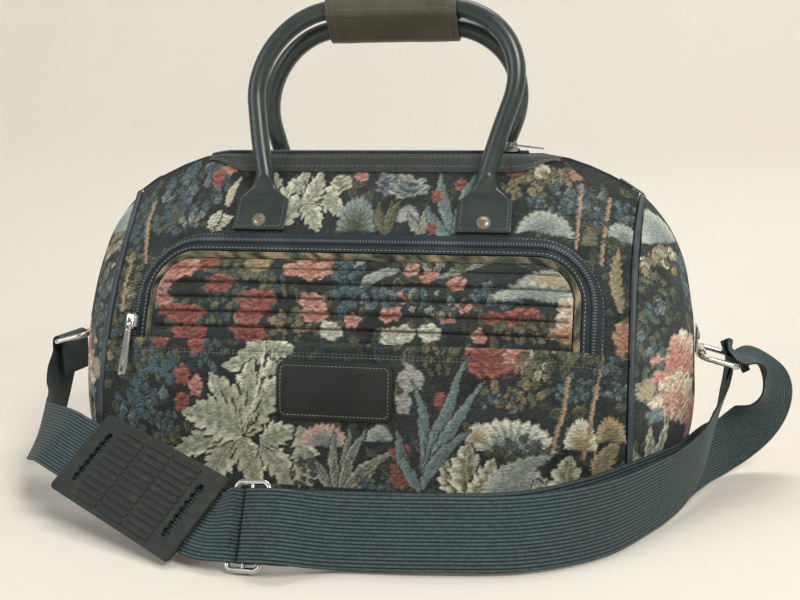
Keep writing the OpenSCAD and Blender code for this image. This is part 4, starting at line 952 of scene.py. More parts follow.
def pocket_cloth_panel():
    flap_in = ZIP_W + 2 * BEAD_R + LAY
    top = POCKET_TOP - flap_in
    z, c = np.meshgrid(np.linspace(HEM_H - TUCK_IN, top, 112), np.linspace(-1, 1, 350), indexing="ij")
    x = c * outline_half(z, flap_in)
    rim = smooth((1 - np.abs(c)) / 0.05)
    slack = 1.4 * rim * smooth((top - 3 - z) / 12) * soft_waves(x, z * 1.6, 13)
    fold = tuck(z + 0.8 * (noise(x / 26, z / 40) - 0.5)) * (0.8 + 0.35 * noise(x / 17, z / 11))
    nearest = np.clip(np.round((z - FIRST_TUCK) / TUCK_PITCH), 0, TUCKS)
    near_fold = np.abs(z - FIRST_TUCK - TUCK_PITCH * nearest)
    inside = smooth((1 - np.abs(c)) / 0.02)
    crease = smooth(1 - near_fold / 1.4) * inside
    off = puff(x, z) + CLOTH_T + (fold - 0.8 * crease) * inside + slack * smooth((z - HEM_H) / 10)
    cloth = Tapestry(x, z, 41)
    paint_pocket(cloth)
    # Painted shade: the cloth's colour is darkened along the tuck creases.
    tint = cloth.colours() * (1 - 0.6 * crease)[..., None]
    grid = front(x, z, off)
    return shell("pocket_cloth", grid, SKIN_T, tapestry, lay_uv(grid), tint)


pocket_cloth = dress(pocket_cloth_panel(), "bag", "tapestry", "pocket_panel")


def pocket_bead():
    """The cloth-covered cord round the tucked panel."""
    sides = 14
    lines = [on_pocket(ZIP_W + BEAD_R + BEAD_R * math.cos(a), BEAD_R * math.sin(a))
             for a in 2 * math.pi * np.arange(sides) / sides]
    rings = np.stack(lines, 1)
    middle = outline(ZIP_W + BEAD_R)
    run = np.r_[0, np.cumsum(np.linalg.norm(np.diff(middle, axis=0), axis=1))]
    turn, length = np.meshgrid(np.arange(sides) * 1.35, run)
    slant = length + 1.2 * turn
    tint = mix(PALETTE["moss"], PALETTE["tan"], smooth(1.6 * noise(slant / 9, turn / 6) - 0.4)[..., None])
    tint = 0.8 * mix(tint, PALETTE["ground"], smooth(2 * noise(slant / 5 + 7, turn / 5) - 0.7)[..., None])
    uv = np.stack([length, turn], -1)
    return tube("pocket_bead", rings, tapestry, uv.reshape(-1, 2), tint.reshape(-1, 3))


dress(pocket_bead(), "bag", "tapestry", "pocket_piping")


END_LIGHT = 1.32


def end_panel(name, side, seed):
    """A padded end, painted lighter than the walls."""
    rows = np.r_[np.linspace(-1, 0, 9)[:-1], np.linspace(0, 0.994, 146)]
    t, c = np.meshgrid(rows, np.linspace(-1, 1, 150), indexing="ij")
    r = c * (1 - END_SEAM_GAP / profile(SEAM, t)[..., 0])
    p = end_point(r, t)
    y, z = p[..., 1], np.where(t < 0, BASE_EDGE_R * t, p[..., 2])
    to_seam = 1 - np.abs(c)
    edge = smooth(to_seam / 0.2) * smooth(z / 20) * smooth((0.955 - t) / 0.15)
    bracket_room = smooth(np.hypot(y / 24, (z - RING_H - 8) / 26) * 2 - 1.4)
    gathers = 0.5 * np.sin(z / 2.1 + 3 * noise(y / 9, z / 9))
    pucker = gathers * smooth(1 - to_seam / 0.1) * smooth(to_seam / 0.03)
    off = -0.1 + pucker + 2.6 * edge * bracket_room * (soft_waves(y * 1.2, z, seed) - 0.25)
    cloth = Tapestry(y, z, seed)
    paint_end(cloth)
    grid = p + off[..., None] * end_out(r, t)
    uv = lay_uv(grid)
    return shell(name, grid * (side, 1, 1), SKIN_T, tapestry, uv, END_LIGHT * cloth.colours(), flip=side < 0)


for side, word in SIDES:
    end_cloth = end_panel(f"{word}_end_cloth", side, 51 + side)
    dress(end_cloth, "bag", "tapestry", f"{word}_end_panel")


def base_cloth_panel():
    bow = float(bulge(np.array(-1.0))) - LAY
    foot = BASE_HALF - BASE_EDGE_R - LAY
    k, c = np.meshgrid(np.linspace(-1, 1, 40), np.linspace(-1, 1, 90), indexing="ij")
    x = c * (BODY_W / 2 - LAY + bow * (1 - k * k))
    grid = np.stack([x, -k * foot, np.full_like(x, 0.05)], -1)
    cloth = Tapestry(x, k * foot, 61)
    cloth.undergrowth((-260, 260, -110, 110), 240, 11, "moss", "deep", "olive", "tan")
    return shell("base_cloth", grid, SKIN_T, tapestry, np.stack([x, k * foot], -1), cloth.colours())


base_cloth = dress(base_cloth_panel(), "bag", "tapestry", "base_panel")


# Piping, facings and zips
def corner_piping(name, x_side, y_side):
    t = np.linspace(-0.5, 1, 150)
    q = profile(SEAM, t)
    path = np.stack([seam_x(t), -q[:, 0], q[:, 1]], -1)
    wobble = 1 + 0.05 * np.sin(t * 90) * noise(t * 30, t * 7)
    cap = np.sqrt(np.clip((1.004 - t) / 0.012, 0.02, 1))
    rings = rings_along(path, np.array([1.0, 0, 0]), PIPING_R * wobble * cap, 14) * (x_side, y_side, 1)
    return tube(name, rings[::x_side * y_side], piping_vinyl)


for y_side, depth in DEPTHS:
    for x_side, word in SIDES:
        cord = corner_piping(f"{depth}_{word}_cord", x_side, y_side)
        dress(cord, "bag", "piping", f"{depth}_{word}_piping")


def facing_low(c):
    return BODY_H - FACING_H * mix(0.25, 1, smooth((1 - np.abs(c)) / 0.25))


def facing_spot(c, k, h):
    return front(c * FACING_HALF, mix(facing_low(c), BODY_H, k), LAY + h)


def zip_facing(name, y_side):
    c, k = np.meshgrid(np.linspace(-1, 1, 220), np.linspace(0, 1, 16))
    crown = FACING_T * (0.55 + 0.45 * smooth(np.minimum(k, 1 - k) / 0.14) * smooth((1 - np.abs(c)) / 0.02))
    dimple = -0.35 * smooth(1 - np.abs(k - 0.3) / 0.1) - 0.35 * smooth(1 - np.abs(k - 0.8) / 0.1)
    grid = facing_spot(c, k, crown + dimple * 0.6 + 0.25 * (noise(c * 40, k * 2) - 0.5)) * (1, y_side, 1)
    return shell(name, grid, 1.0, facing_vinyl, flip=y_side < 0)


def zip_end(name, side):
    """The folded tab that closes the ridge beyond the end of the main zip."""
    share, v = np.meshgrid(np.linspace(0, 1, 14), np.linspace(-1, 1, 9))
    p = wall_point(mix(0.915, 1.004, share), np.ones_like(share))
    rise = mix(2.5, 1.2, smooth(share)) + 0.8 * (1 - v * v)
    grid = np.stack([side * p[..., 0], v * (np.abs(p[..., 1]) - 0.6), p[..., 2] + rise], -1)
    return shell(name, grid, 0.9, facing_vinyl, flip=side < 0, coarse=2)


for side, word in SIDES:
    dress(zip_end(f"{word}_zip_end", side), "bag", "vinyl")
dress(zip_facing("front_facing", 1), "bag", "vinyl", "front_zip_facing")
dress(zip_facing("back_facing", -1), "bag", "vinyl", "back_zip_facing")


# Stitches, teeth and ribs: one tree that sets small bodies along paths
def stitch_tree():
    tree = bpy.data.node_groups.new("stitch_run", "GeometryNodeTree")
    face = tree.interface
    face.new_socket("Path", in_out="INPUT", socket_type="NodeSocketGeometry")
    for key in ("Pitch", "Length", "Width", "Height", "Rise", "Slant"):
        face.new_socket(key, in_out="INPUT", socket_type="NodeSocketFloat")
    face.new_socket("Square", in_out="INPUT", socket_type="NodeSocketBool")
    face.new_socket("Finish", in_out="INPUT", socket_type="NodeSocketMaterial")
    face.new_socket("Stitches", in_out="OUTPUT", socket_type="NodeSocketGeometry")
    n = Nodes(tree)
    given = n.add("NodeGroupInput").outputs
    made = lambda *node, **settings: n.add(*node, **settings).outputs[0]
    curve = made("GeometryNodeMeshToCurve", {0: given["Path"]})
    spaced = made("GeometryNodeResampleCurve", {"Curve": curve, "Length": given["Pitch"]}, mode="LENGTH")
    out = n.add("GeometryNodeInputNamedAttribute", {"Name": "out"}, data_type="FLOAT_VECTOR").outputs[0]
    along = n.add("GeometryNodeInputTangent").outputs[0]
    vector = lambda op, a, b: n.add("ShaderNodeVectorMath", {0: a, 1: b}, operation=op).outputs[0]
    scaled = lambda a, k: n.add("ShaderNodeVectorMath", {0: a, "Scale": k}, operation="SCALE").outputs[0]
    turned = vector("ADD", scaled(along, n.math("COSINE", given["Slant"])),
                    scaled(vector("CROSS_PRODUCT", out, along), n.math("SINE", given["Slant"])))
    turn = made("FunctionNodeAxesToRotation", {0: out, 1: turned}, primary_axis="Z", secondary_axis="X")
    raised = made("GeometryNodeSetPosition", {"Geometry": spaced, "Offset": scaled(out, given["Rise"])})
    bead = n.add("GeometryNodeMeshUVSphere", {"Segments": 8, "Rings": 5, "Radius": 0.5}).outputs[0]
    bar = n.add("GeometryNodeMeshCube").outputs[0]
    bead = made("GeometryNodeSwitch", {0: given["Square"], 1: bead, 2: bar}, input_type="GEOMETRY")
    size = made("ShaderNodeCombineXYZ", {0: given["Length"], 1: given["Width"], 2: given["Height"]})
    body = n.add("GeometryNodeTransform", {"Geometry": bead, "Scale": size}).outputs[0]
    placed = made("GeometryNodeInstanceOnPoints", {"Points": raised, "Instance": body, "Rotation": turn})
    solid = n.add("GeometryNodeRealizeInstances", {0: placed}).outputs[0]
    done = n.add("GeometryNodeSetMaterial", {"Geometry": solid, "Material": given["Finish"]}).outputs[0]
    tree.links.new(done, n.add("NodeGroupOutput").inputs[0])
    return tree


stitch_run = stitch_tree()
stitch_input = {item.name: item.identifier for item in stitch_run.interface.items_tree
                if item.in_out == "INPUT"}


def run_of(name, paths, pitch, size, material, rise=0.0, slant=0.0, square=False):
    """Small bodies along paths of points and outward directions. size is length, width, height."""
    points = np.concatenate([p for p, _ in paths])
    outs = np.concatenate([np.broadcast_to(o, p.shape) for p, o in paths])
    starts = np.cumsum([0] + [len(p) for p, _ in paths])
    edges = [(k, k + 1) for a, b in zip(starts, starts[1:]) for k in range(a, b - 1)]
    mesh = bpy.data.meshes.new(name)
    mesh.from_pydata((points * MM).tolist(), edges, [])
    outward = mesh.attributes.new("out", "FLOAT_VECTOR", "POINT")
    outward.data.foreach_set("vector", np.ascontiguousarray(outs).ravel())
    piece = bpy.data.objects.new(name, mesh)
    bpy.context.scene.collection.objects.link(piece)
    run = piece.modifiers.new("run", "NODES")
    run.node_group = stitch_run
    values = {"Pitch": pitch * MM, "Length": size[0] * MM, "Width": size[1] * MM, "Height": size[2] * MM,
              "Rise": rise * MM, "Slant": math.radians(slant), "Square": square, "Finish": material}
    for key, value in values.items():
        run[stitch_input[key]] = value
    return settled(piece)


def mirrored(paths, x=False, y=False):
    sign = np.array([-1.0 if x else 1.0, -1.0 if y else 1.0, 1.0])
    return [(p * sign, o * sign) for p, o in paths]


def surface_path(spot, raise_by=1.0):
    """A path and its outward directions, from a function that gives spots at a height."""
    low, high = spot(0.0), spot(raise_by)
    return low, unit(high - low)


facing_c = np.linspace(-0.97, 0.97, 200)


def facing_row(k):
    """A line of stitching along the facing, k of the way up it."""
    return surface_path(lambda h: facing_spot(facing_c, np.full_like(facing_c, k), FACING_T - 0.2 + h))


facing_rows = [facing_row(k) for k in (0.3, 0.8)]
facing_rows = facing_rows + mirrored(facing_rows, y=True)
dress(run_of("facing_stitches", facing_rows, 4.4, (3.5, 1.2, 0.9), dark_thread, slant=24), "bag", "vinyl")

pocket_coil = surface_path(lambda h: on_pocket(ZIP_W / 2, TAPE_T + 0.3 + h))
dress(run_of("pocket_teeth", [pocket_coil], 2.4, (1.7, 5.4, 3.0), zip_coil, rise=1.2), "bag", "zip")
pocket_seams = [surface_path(lambda h, d=d: on_pocket(d, TAPE_T + 0.3 + h)) for d in (2.4, ZIP_W - 2.6)]
dress(run_of("pocket_tape_stitches", pocket_seams, 3.4, (2.3, 1.0, 0.8), thread), "bag", "zip")

ridge_x = np.linspace(-205, 205, 300)
ridge_p = wall_point(ridge_x / (BODY_W / 2), np.ones_like(ridge_x))
ridge_line = np.stack([ridge_p[:, 0], np.zeros(300), ridge_p[:, 2] + 0.3 + TAPE_T], -1)
closed = (ridge_x > -150) & (ridge_x < 122)
up = np.array([0.0, 0.0, 1.0])
main_coil = [(ridge_line[closed], up)]
dress(run_of("main_teeth", main_coil, 1.9, (1.5, 5.6, 3.2), zip_coil, rise=1.2), "bag", "zip")


# Handles, grip and rivets
tab_h_mid = POCKET_TOP + 1.5 + 0.84 * TAB_H / 2
tab_spot = front(HANDLE_SPAN / 2, tab_h_mid, LAY)
tab_right = np.array([1.0, 0, 0])
tab_up = unit(front(HANDLE_SPAN / 2, tab_h_mid + 5, LAY) - front(HANDLE_SPAN / 2, tab_h_mid - 5, LAY))
tab_out = np.cross(tab_right, tab_up)
tab_core = tab_spot + TAB_T / 2 * tab_out
roll_spot = tab_spot + (TAB_H / 2 + FLARE_H) * tab_up + (ROLL_R + 1) * tab_out
handle_sides = 44


def handle_stations(top_h):
    """Stations up the right half: [spot, side, out, half width, half thickness, squareness]."""
    rows = [(tab_core + k * TAB_H * tab_up, tab_right, tab_out,
             TAB_W / 2 - trim, TAB_T / 2 - 0.8 * trim, TAB_EDGE)
            for k, trim in ((-0.5, 0.9), (-0.49, 0.3), (-0.47, 0), (-0.25, 0), (0, 0), (0.25, 0), (0.4, 0))]
    start = tab_core + TAB_H / 2 * tab_up
    for k in np.linspace(0, 1, 22)[:-1]:
        w, gather = float(smooth(1.15 * k)), 1 - (1 - k) ** 2.4
        rows.append((mix(start, roll_spot, k) + (w - k) * ROLL_R / 2 * tab_out, tab_right, tab_out,
                     mix(TAB_W / 2, ROLL_R, gather), mix(TAB_T / 2, ROLL_R, w),
                     mix(TAB_EDGE, 2, min(2.5 * k, 1))))
    top_y = -GRIP_GAP / 2
    lean = math.atan2(top_y - roll_spot[1], top_h - roll_spot[2])
    rise = math.hypot(top_y - roll_spot[1], top_h - roll_spot[2])
    up, out = np.array([0, math.sin(lean), math.cos(lean)]), np.array([0, -math.cos(lean), math.sin(lean)])
    bend, foot = np.array([HANDLE_TOP_HALF, rise - HANDLE_R]), np.array([HANDLE_SPAN / 2, 0.0])
    reach = float(np.hypot(*(bend - foot)))
    leg = math.sqrt(reach ** 2 - HANDLE_R ** 2)
    turn = math.atan2(bend[1] - foot[1], bend[0] - foot[0]) - math.asin(HANDLE_R / reach) - math.pi / 2
    base = np.array([0, roll_spot[1], roll_spot[2]])
    place = lambda p: base + np.array([p[0], 0, 0]) + p[1] * up
    aside = lambda a: np.array([math.cos(a), 0, 0]) + math.sin(a) * up
    for k in np.linspace(0, 1, 14)[:-1]:
        p = foot + k * leg * np.array([-math.sin(turn), math.cos(turn)])
        rows.append((place(p), aside(turn), out, ROLL_R, ROLL_R, 2))
    for a in np.linspace(turn, math.pi / 2, 40):
        p = bend + HANDLE_R * np.array([math.cos(a), math.sin(a)])
        rows.append((place(p), aside(a), out, ROLL_R, ROLL_R, 2))
    return rows


def station_ring(spot, side, out, wide, thick, square):
    a = 2 * math.pi * (np.arange(handle_sides) + 0.5) / handle_sides
    off = lambda v: np.sign(v) * np.abs(v) ** (2 / square)
    from_seam = np.abs(np.angle(np.exp(1j * (a - math.radians(250)))))
    seam = 1 - 0.05 * smooth(1 - from_seam / 0.22) * (square < 2.5)
    across, outward = wide * off(np.cos(a)) * seam, thick * off(np.sin(a)) * seam
    return spot + across[:, None] * side + outward[:, None] * out


def handle(name, top_h, y_side):
    right = handle_stations(top_h)
    flip = np.array([-1.0, 1, 1])
    left = [(spot * flip, side * flip, *more) for spot, side, *more in right[::-1]]
    rings = np.array([station_ring(*row) for row in right + left])
    share = (np.array([row[0][2] for row in right + left]) - roll_spot[2]) / (top_h - roll_spot[2])
    rings[..., 0] += HANDLE_LEAN * smooth(share)[:, None]
    rings = rings * (1, y_side, 1)
    return tube(name, rings[::-y_side], handle_vinyl, sharp=70)


dress(handle("front_roll", FRONT_TOP, 1), "bag", "vinyl", "front_handle")
dress(handle("back_roll", BACK_TOP, -1), "bag", "vinyl", "back_handle")


def tab_point(u, v, h):
    return tab_spot + u * tab_right + v * tab_up + h * tab_out


def tab_paths():
    """Box stitching near a tab's lower edge and sides."""
    wide, low, high = TAB_W / 2 - 3.2, -TAB_H / 2 + 3, TAB_H / 2 - 1
    corners = [(-wide, high), (-wide, low), (wide, low), (wide, high)]
    line = [np.linspace(a, b, 24, endpoint=False) for a, b in zip(corners, corners[1:])]
    uv = np.concatenate(line + [np.array([corners[-1]])])
    return [(np.array([tab_point(u, v, TAB_T - 0.15) for u, v in uv]), tab_out)]


tab_lines = tab_paths() + mirrored(tab_paths(), x=True)
tab_lines = tab_lines + mirrored(tab_lines, y=True)
dress(run_of("tab_stitches", tab_lines, 3.4, (2.6, 1.0, 0.8), dark_thread), "bag", "vinyl")

rivet_outline = [(RIVET_R, 0), (RIVET_R, 0.5), (RIVET_R - 0.3, 0.85), (RIVET_R - 0.9, 0.95),
                 (RIVET_R - 1.3, 0.8), (RIVET_R - 1.7, 0.85), (RIVET_R * 0.5, 1.35), (RIVET_R * 0.25, 1.48),
                 (0.05, 1.5)]
rivet_spot = tab_point(0, -TAB_H / 2 + 9, TAB_T)
for y_side, depth in DEPTHS:
    both = []
    for x_side in (1, -1):
        sign = np.array([x_side, y_side, 1])
        both.append(lathe(f"{depth}_rivet_{x_side}", rivet_outline, rivet_spot * sign,
                          tab_right * x_side * y_side * sign, tab_up * sign, tab_out * sign, rivet_metal))
    joined = bmesh.new()
    for one in both:
        joined.from_mesh(one.data)
        bpy.data.objects.remove(one)
    mesh = bpy.data.meshes.new(f"{depth}_rivets")
    joined.to_mesh(mesh)
    joined.free()
    mesh.materials.append(rivet_metal)
    rivets = bpy.data.objects.new(f"{depth}_rivets", mesh)
    bpy.context.scene.collection.objects.link(rivets)
    dress(rivets, "bag", "metal", f"{depth}_handle_rivets")


def grip_outline(r, count=84):
    """The band round both handle tops, as (y, z) at radius r about each."""
    tops = np.array([(-GRIP_GAP / 2, FRONT_TOP), (GRIP_GAP / 2, BACK_TOP)])
    a = np.linspace(0, 2 * math.pi, 181)
    d = np.stack([np.cos(a), np.sin(a)], -1)
    p = tops[np.argmax(d @ tops.T, axis=1)] + r * d
    run = np.r_[0, np.cumsum(np.linalg.norm(np.diff(p, axis=0), axis=1))]
    at = np.linspace(0, run[-1], count, endpoint=False)
    return np.stack([np.interp(at, run, p[:, 0]), np.interp(at, run, p[:, 1])], -1)


def grip_point(x, r):
    p = grip_outline(r)
    return np.c_[np.full(len(p), x + HANDLE_LEAN), p]


def grip_band():
    ends = [(-GRIP_HALF, GRIP_OUT - 1.1), (-GRIP_HALF + 0.3, GRIP_OUT - 0.4), (-GRIP_HALF + 1.2, GRIP_OUT)]
    groove = lambda x: 0.35 * float(smooth(1 - abs(abs(x) - (GRIP_HALF - 7)) / 1.6))
    uneven = lambda x: 0.5 * (float(noise(x / 13, 3.0)) - 0.5)
    middle = [(x, GRIP_OUT - groove(x) + uneven(x))
              for x in np.linspace(-GRIP_HALF + 2.5, GRIP_HALF - 2.5, 60)]
    outer = ends + middle + [(-x, r) for x, r in ends[::-1]]
    loop = outer + [(GRIP_HALF, GRIP_IN), (0, GRIP_IN), (-GRIP_HALF, GRIP_IN)]
    rings = np.array([grip_point(x, r) for x, r in loop])
    rows, cols = rings.shape[:2]
    faces = grid_faces(rows, cols, closed=True)
    last, first = (rows - 1) * cols + np.arange(cols), np.arange(cols)
    closing = np.stack([last, np.roll(last, -1), np.roll(first, -1), first], -1)
    faces = np.concatenate([faces, closing])[:, ::-1]
    return make_piece("grip_band", rings.reshape(-1, 3), faces, grip_vinyl)


dress(grip_band(), "bag", "vinyl", "handle_grip")
grip_edges = []
for x in (-GRIP_HALF + 7, GRIP_HALF - 7):
    ring = grip_point(x, GRIP_OUT - 0.15)
    ring = np.vstack([ring, ring[:1]])
    grip_edges.append((ring, unit(np.gradient(ring, axis=0)[:, [0, 2, 1]] * (0, 1, -1))))
seam_out = np.array([0, math.cos(math.radians(190)), math.sin(math.radians(190))])
seam_start = np.array([HANDLE_LEAN, -GRIP_GAP / 2, FRONT_TOP]) + (GRIP_OUT - 0.1) * seam_out
grip_edges.append((seam_start + np.linspace(-48, 48, 40)[:, None] * tab_right, seam_out))
dress(run_of("grip_stitches", grip_edges, 3.4, (2.6, 0.9, 0.7), dark_thread), "bag", "vinyl")


# Patch
def patch_panel():
    """Concentric rounded rectangles: a rolled edge, a dent under the stitching, a plain middle."""
    corner, sides = 7.0, 176
    a = 2 * math.pi * np.arange(sides) / sides

    def rim(d):
        wide, tall, r = PATCH_W / 2 - d, PATCH_H / 2 - d, max(corner - d, 1.0)
        core = np.stack([np.sign(np.cos(a)) * (wide - r), np.sign(np.sin(a)) * (tall - r)], -1)
        edge = core + r * np.stack([np.cos(a), np.sin(a)], -1)
        run = np.r_[0, np.cumsum(np.linalg.norm(np.diff(np.vstack([edge, edge[:1]]), axis=0), axis=1))]
        at = np.linspace(0, run[-1], sides, endpoint=False)
        ring = np.vstack([edge, edge[:1]])
        return np.stack([np.interp(at, run, ring[:, 0]), np.interp(at, run, ring[:, 1])], -1)

    def on_panel(p, h):
        x, z = PATCH_X + p[:, 0], PATCH_Z + p[:, 1]
        return front(x, z, lower_lift(x, z) + CLOTH_T + h)

    rings = [on_panel(rim(0), -0.4)]
    for d, h in ((0, 0.9), (0.35, 1.7), (1.1, 2.25), (2.0, 2.4), (3.0, 2.15), (4.0, 2.05), (5.0, 2.2),
                 (6.5, 2.5)):
        rings.append(on_panel(rim(d), h))
    for share in (0.85, 0.68, 0.5, 0.3, 0.12):
        rings.append(on_panel(rim(6.5) * share, 2.5 + 0.3 * (1 - share)))
    piece = tube("plain_patch_leather", np.array(rings), patch_leather)
    line = np.vstack([rim(3.5), rim(3.5)[:1]])
    return piece, surface_path(lambda h: on_panel(line, 2.05 + h))


patch_piece, patch_line = patch_panel()
dress(patch_piece, "bag", "patch", "plain_patch")
dress(run_of("patch_stitches", [patch_line], 3.0, (2.2, 0.75, 0.6), thread), "bag", "patch")

hem_x = np.linspace(-206, 206, 260)


def hem_line(below):
    """A line of topstitching on the hem, so far below its edge."""
    z = np.full_like(hem_x, HEM_H - below)
    return surface_path(lambda h: front(hem_x, z, lower_lift(hem_x, z) + CLOTH_T - 0.5 + h))


hem_lines = [hem_line(below) for below in (7.8, 10.2)]
dress(run_of("hem_stitches", hem_lines, 3.4, (2.6, 1.0, 0.9), dark_thread), "bag", "tapestry")


# Shoulder strap
def row_of(spot, across):
    return np.array(spot, float), np.array(across, float)


LOOP_R, BAR_OVER, PLY, BAR_PITCH = 4.25, 3.75, 2.3, 12.0
UPRIGHT, LEVEL_ACROSS = (0, 0.3, 0.95), (0, -1, 0)
PAD_MID = np.array([-137.0, -BASE_HALF - 104, 39])
PAD_ACROSS = unit(np.array([0.46, 0.57, 0.69]))
PAD_ALONG = np.array([0.857, -0.49, -0.16])
PAD_ALONG = unit(PAD_ALONG - PAD_ALONG @ PAD_ACROSS * PAD_ACROSS)
PAD_OUT = np.cross(PAD_ALONG, PAD_ACROSS)
PAD_LEN, PAD_T, UNDER_PAD = 144.0, 3.4, 1.55
ADJUSTER_MID = np.array([-37.5, -BASE_HALF - 149, 30])
ADJUSTER_ACROSS = unit(np.array([0, 0.45, 0.89]))
ADJUSTER_ALONG = np.array([0.97, -0.12, 0])
ADJUSTER_ALONG = unit(ADJUSTER_ALONG - ADJUSTER_ALONG @ ADJUSTER_ACROSS * ADJUSTER_ACROSS)
ADJUSTER_OUT = np.cross(ADJUSTER_ALONG, ADJUSTER_ACROSS)


def from_bow(bow, *rows):
    return [row_of(bow + np.array(spot), across) for spot, across in rows]


def from_front(*rows):
    return [row_of((spot[0], spot[1] - BASE_HALF, spot[2]), across) for spot, across in rows]


def bow_turn(bow, *angles):
    return [row_of(bow + LOOP_R * np.array([math.cos(a), 0, math.sin(a)]), LEVEL_ACROSS)
            for a in np.radians(angles)]


def on_pad_line(*along):
    return [row_of(PAD_MID + u * PAD_ALONG - UNDER_PAD * PAD_OUT, PAD_ACROSS) for u in along]


def at_adjuster(*rows):
    return [row_of(ADJUSTER_MID + u * ADJUSTER_ALONG + v * ADJUSTER_OUT, ADJUSTER_ACROSS) for u, v in rows]


def bar_turn(x, r, *angles):
    return [(x + r * math.cos(a), r * math.sin(a)) for a in np.radians(angles)]


left_part = (
    from_bow(LEFT_BOW, ((5.2, 0, -32), LEVEL_ACROSS), ((4.6, 0, -12), LEVEL_ACROSS))
    + bow_turn(LEFT_BOW, 0, 45, 90, 135, 180)
    + from_bow(LEFT_BOW, ((-5.2, 0, -13), LEVEL_ACROSS), ((-8, -8, -36), (0, -0.85, 0.5)),
               ((-3, -30, -58), (0, -0.4, 0.9)))
    + from_front(((-293, 51, 41), (0.1, 0, 1)), ((-281, 16, 42), (0.2, 0.2, 0.95)),
                 ((-260, -18, 50), (0.36, 0.42, 0.83)))
    + on_pad_line(-112, -92, -0.35 * PAD_LEN, 0, 0.3 * PAD_LEN, PAD_LEN / 2 + 3)
    + at_adjuster(*bar_turn(-BAR_PITCH, BAR_OVER, 110, 68, 26), *bar_turn(0, BAR_OVER + PLY, 215, 270, 325),
                  *bar_turn(BAR_PITCH, BAR_OVER, 155, 120, 80), (29, BAR_OVER - 2.4)))
right_part = (
    from_front(((17, -134, 27), UPRIGHT), ((84, -126, 27), UPRIGHT), ((143, -110, 27), UPRIGHT),
               ((186, -70, 27), UPRIGHT),
               ((216, -26, 27), (0, 0.2, 1)), ((239, 9, 27), (-0.1, 0.1, 1)), ((256, 41, 27), (-0.1, 0, 1)),
               ((268, 73, 27), (-0.1, 0, 1)), ((281, 105, 27), (-0.15, 0, 1)))
    + from_bow(RIGHT_BOW, ((-1, 22, -77), (-0.2, -0.1, 0.97)), ((20, 33, -62), (-0.5, -0.3, 0.8)),
               ((32, 28, -42), (-0.75, -0.6, 0.25)), ((31, 16, -20), (-0.5, -0.85, 0)),
               ((18, 6, 0), (-0.15, -1, 0)))
    + bow_turn(RIGHT_BOW, 50, 85, 120, 155, 190)
    + from_bow(RIGHT_BOW, ((-6, -4, -14), (0, -1, 0.1)), ((-11, -22, -32), (0.1, -0.75, 0.65)),
               ((-20, -44, -50), (0.05, -0.5, 0.85)))
    + from_front(((272, 47, 42), (0.05, -0.3, 0.95)), ((257, 17, 32), (0, -0.1, 1)),
                 ((236, -21, 28), (0, 0.1, 1)),
                 ((198, -80, 27), UPRIGHT), ((148, -118, 27), UPRIGHT), ((86, -133, 27), UPRIGHT),
                 ((22, -141, 27), UPRIGHT))
    + at_adjuster((29, BAR_OVER + 2 * PLY - 1), (BAR_PITCH + 3, BAR_OVER + 2 * PLY), (4, BAR_OVER + 1.5),
                  *bar_turn(0, BAR_OVER, 95, 150, 205, 260, 315), (BAR_PITCH - 5, BAR_OVER - 1),
                  (BAR_PITCH, BAR_OVER + PLY), (31, BAR_OVER + PLY - 1.6)))
route = left_part + right_part
ROUTE_STEPS = 8


def strap_line():
    spots, acrosses = np.array([r[0] for r in route]), np.array([r[1] for r in route])
    last = len(route) - 1
    line, turns = [], []
    for i in range(last):
        a, b, c, d = (spots[min(max(j, 0), last)] for j in (i - 1, i, i + 1, i + 2))
        square, cube = 2 * a - 5 * b + 4 * c - d, 3 * b - a - 3 * c + d
        for u in np.arange(ROUTE_STEPS) / ROUTE_STEPS:
            line.append(0.5 * (2 * b + (c - a) * u + square * u ** 2 + cube * u ** 3))
            turns.append(mix(acrosses[i], acrosses[i + 1], u))
    return np.array(line + [spots[-1]]), np.array(turns + [acrosses[-1]])


line, turns = strap_line()
along = unit(np.gradient(line, axis=0))
across = unit(turns - (turns * along).sum(-1, keepdims=True) * along)
face = np.cross(across, along)
run = np.r_[0, np.cumsum(np.linalg.norm(np.diff(line, axis=0), axis=1))]
cut = (len(left_part) - 1) * ROUTE_STEPS
RIBS = 20


def strap_piece(name, rows):
    """A closed band of webbing whose two faces are ribbed lengthwise."""
    v = np.linspace(-0.5, 0.5, 2 * RIBS + 1)
    rib = np.where(np.arange(len(v)) % 2 == 1, 0.5, 0.28) * STRAP_T
    rib[[0, -1]] = 0.2 * STRAP_T
    ring_v, ring_h = np.r_[v, v[::-1]], np.r_[rib, -rib[::-1]]
    rings = (line[rows, None] + ring_v[None, :, None] * STRAP_W * across[rows, None]
             + ring_h[None, :, None] * face[rows, None])
    uv = np.stack(np.meshgrid(ring_v * STRAP_W, run[rows]), -1).reshape(-1, 2)
    return tube(name, rings[:, ::-1], webbing, uv.reshape(len(rows), -1, 2)[:, ::-1].reshape(-1, 2), sharp=80)


strap_rows = {"left": np.arange(0, cut + 1), "right": np.arange(cut, len(line))}
for word, rows in strap_rows.items():
    band = strap_piece(f"{word}_strap", rows)
    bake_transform(band)
    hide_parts("shoulder_strap")


# Metal pieces and the pad
for node, body in (("pocket_zip_slider", "pocket_slider"), ("pocket_zip_pull", "pocket_pull"),
                   ("main_zip_slider", "main_slider"), ("main_zip_pull", "main_pull"),
                   ("left_ring_bracket", "bag"), ("right_ring_bracket", "bag")):
    dress(softened(f"{node}_bright", node, 0.45, bright_metal), body, "metal", node)


def without_ribs(work):
    """Lays the pad's cross ribs flat."""
    for vert in work.verts:
        rise = float((np.array(vert.co) / MM - PAD_MID) @ PAD_OUT)
        if rise > PAD_T + 0.3:
            vert.co -= Vector(PAD_OUT * (rise - PAD_T) * MM)


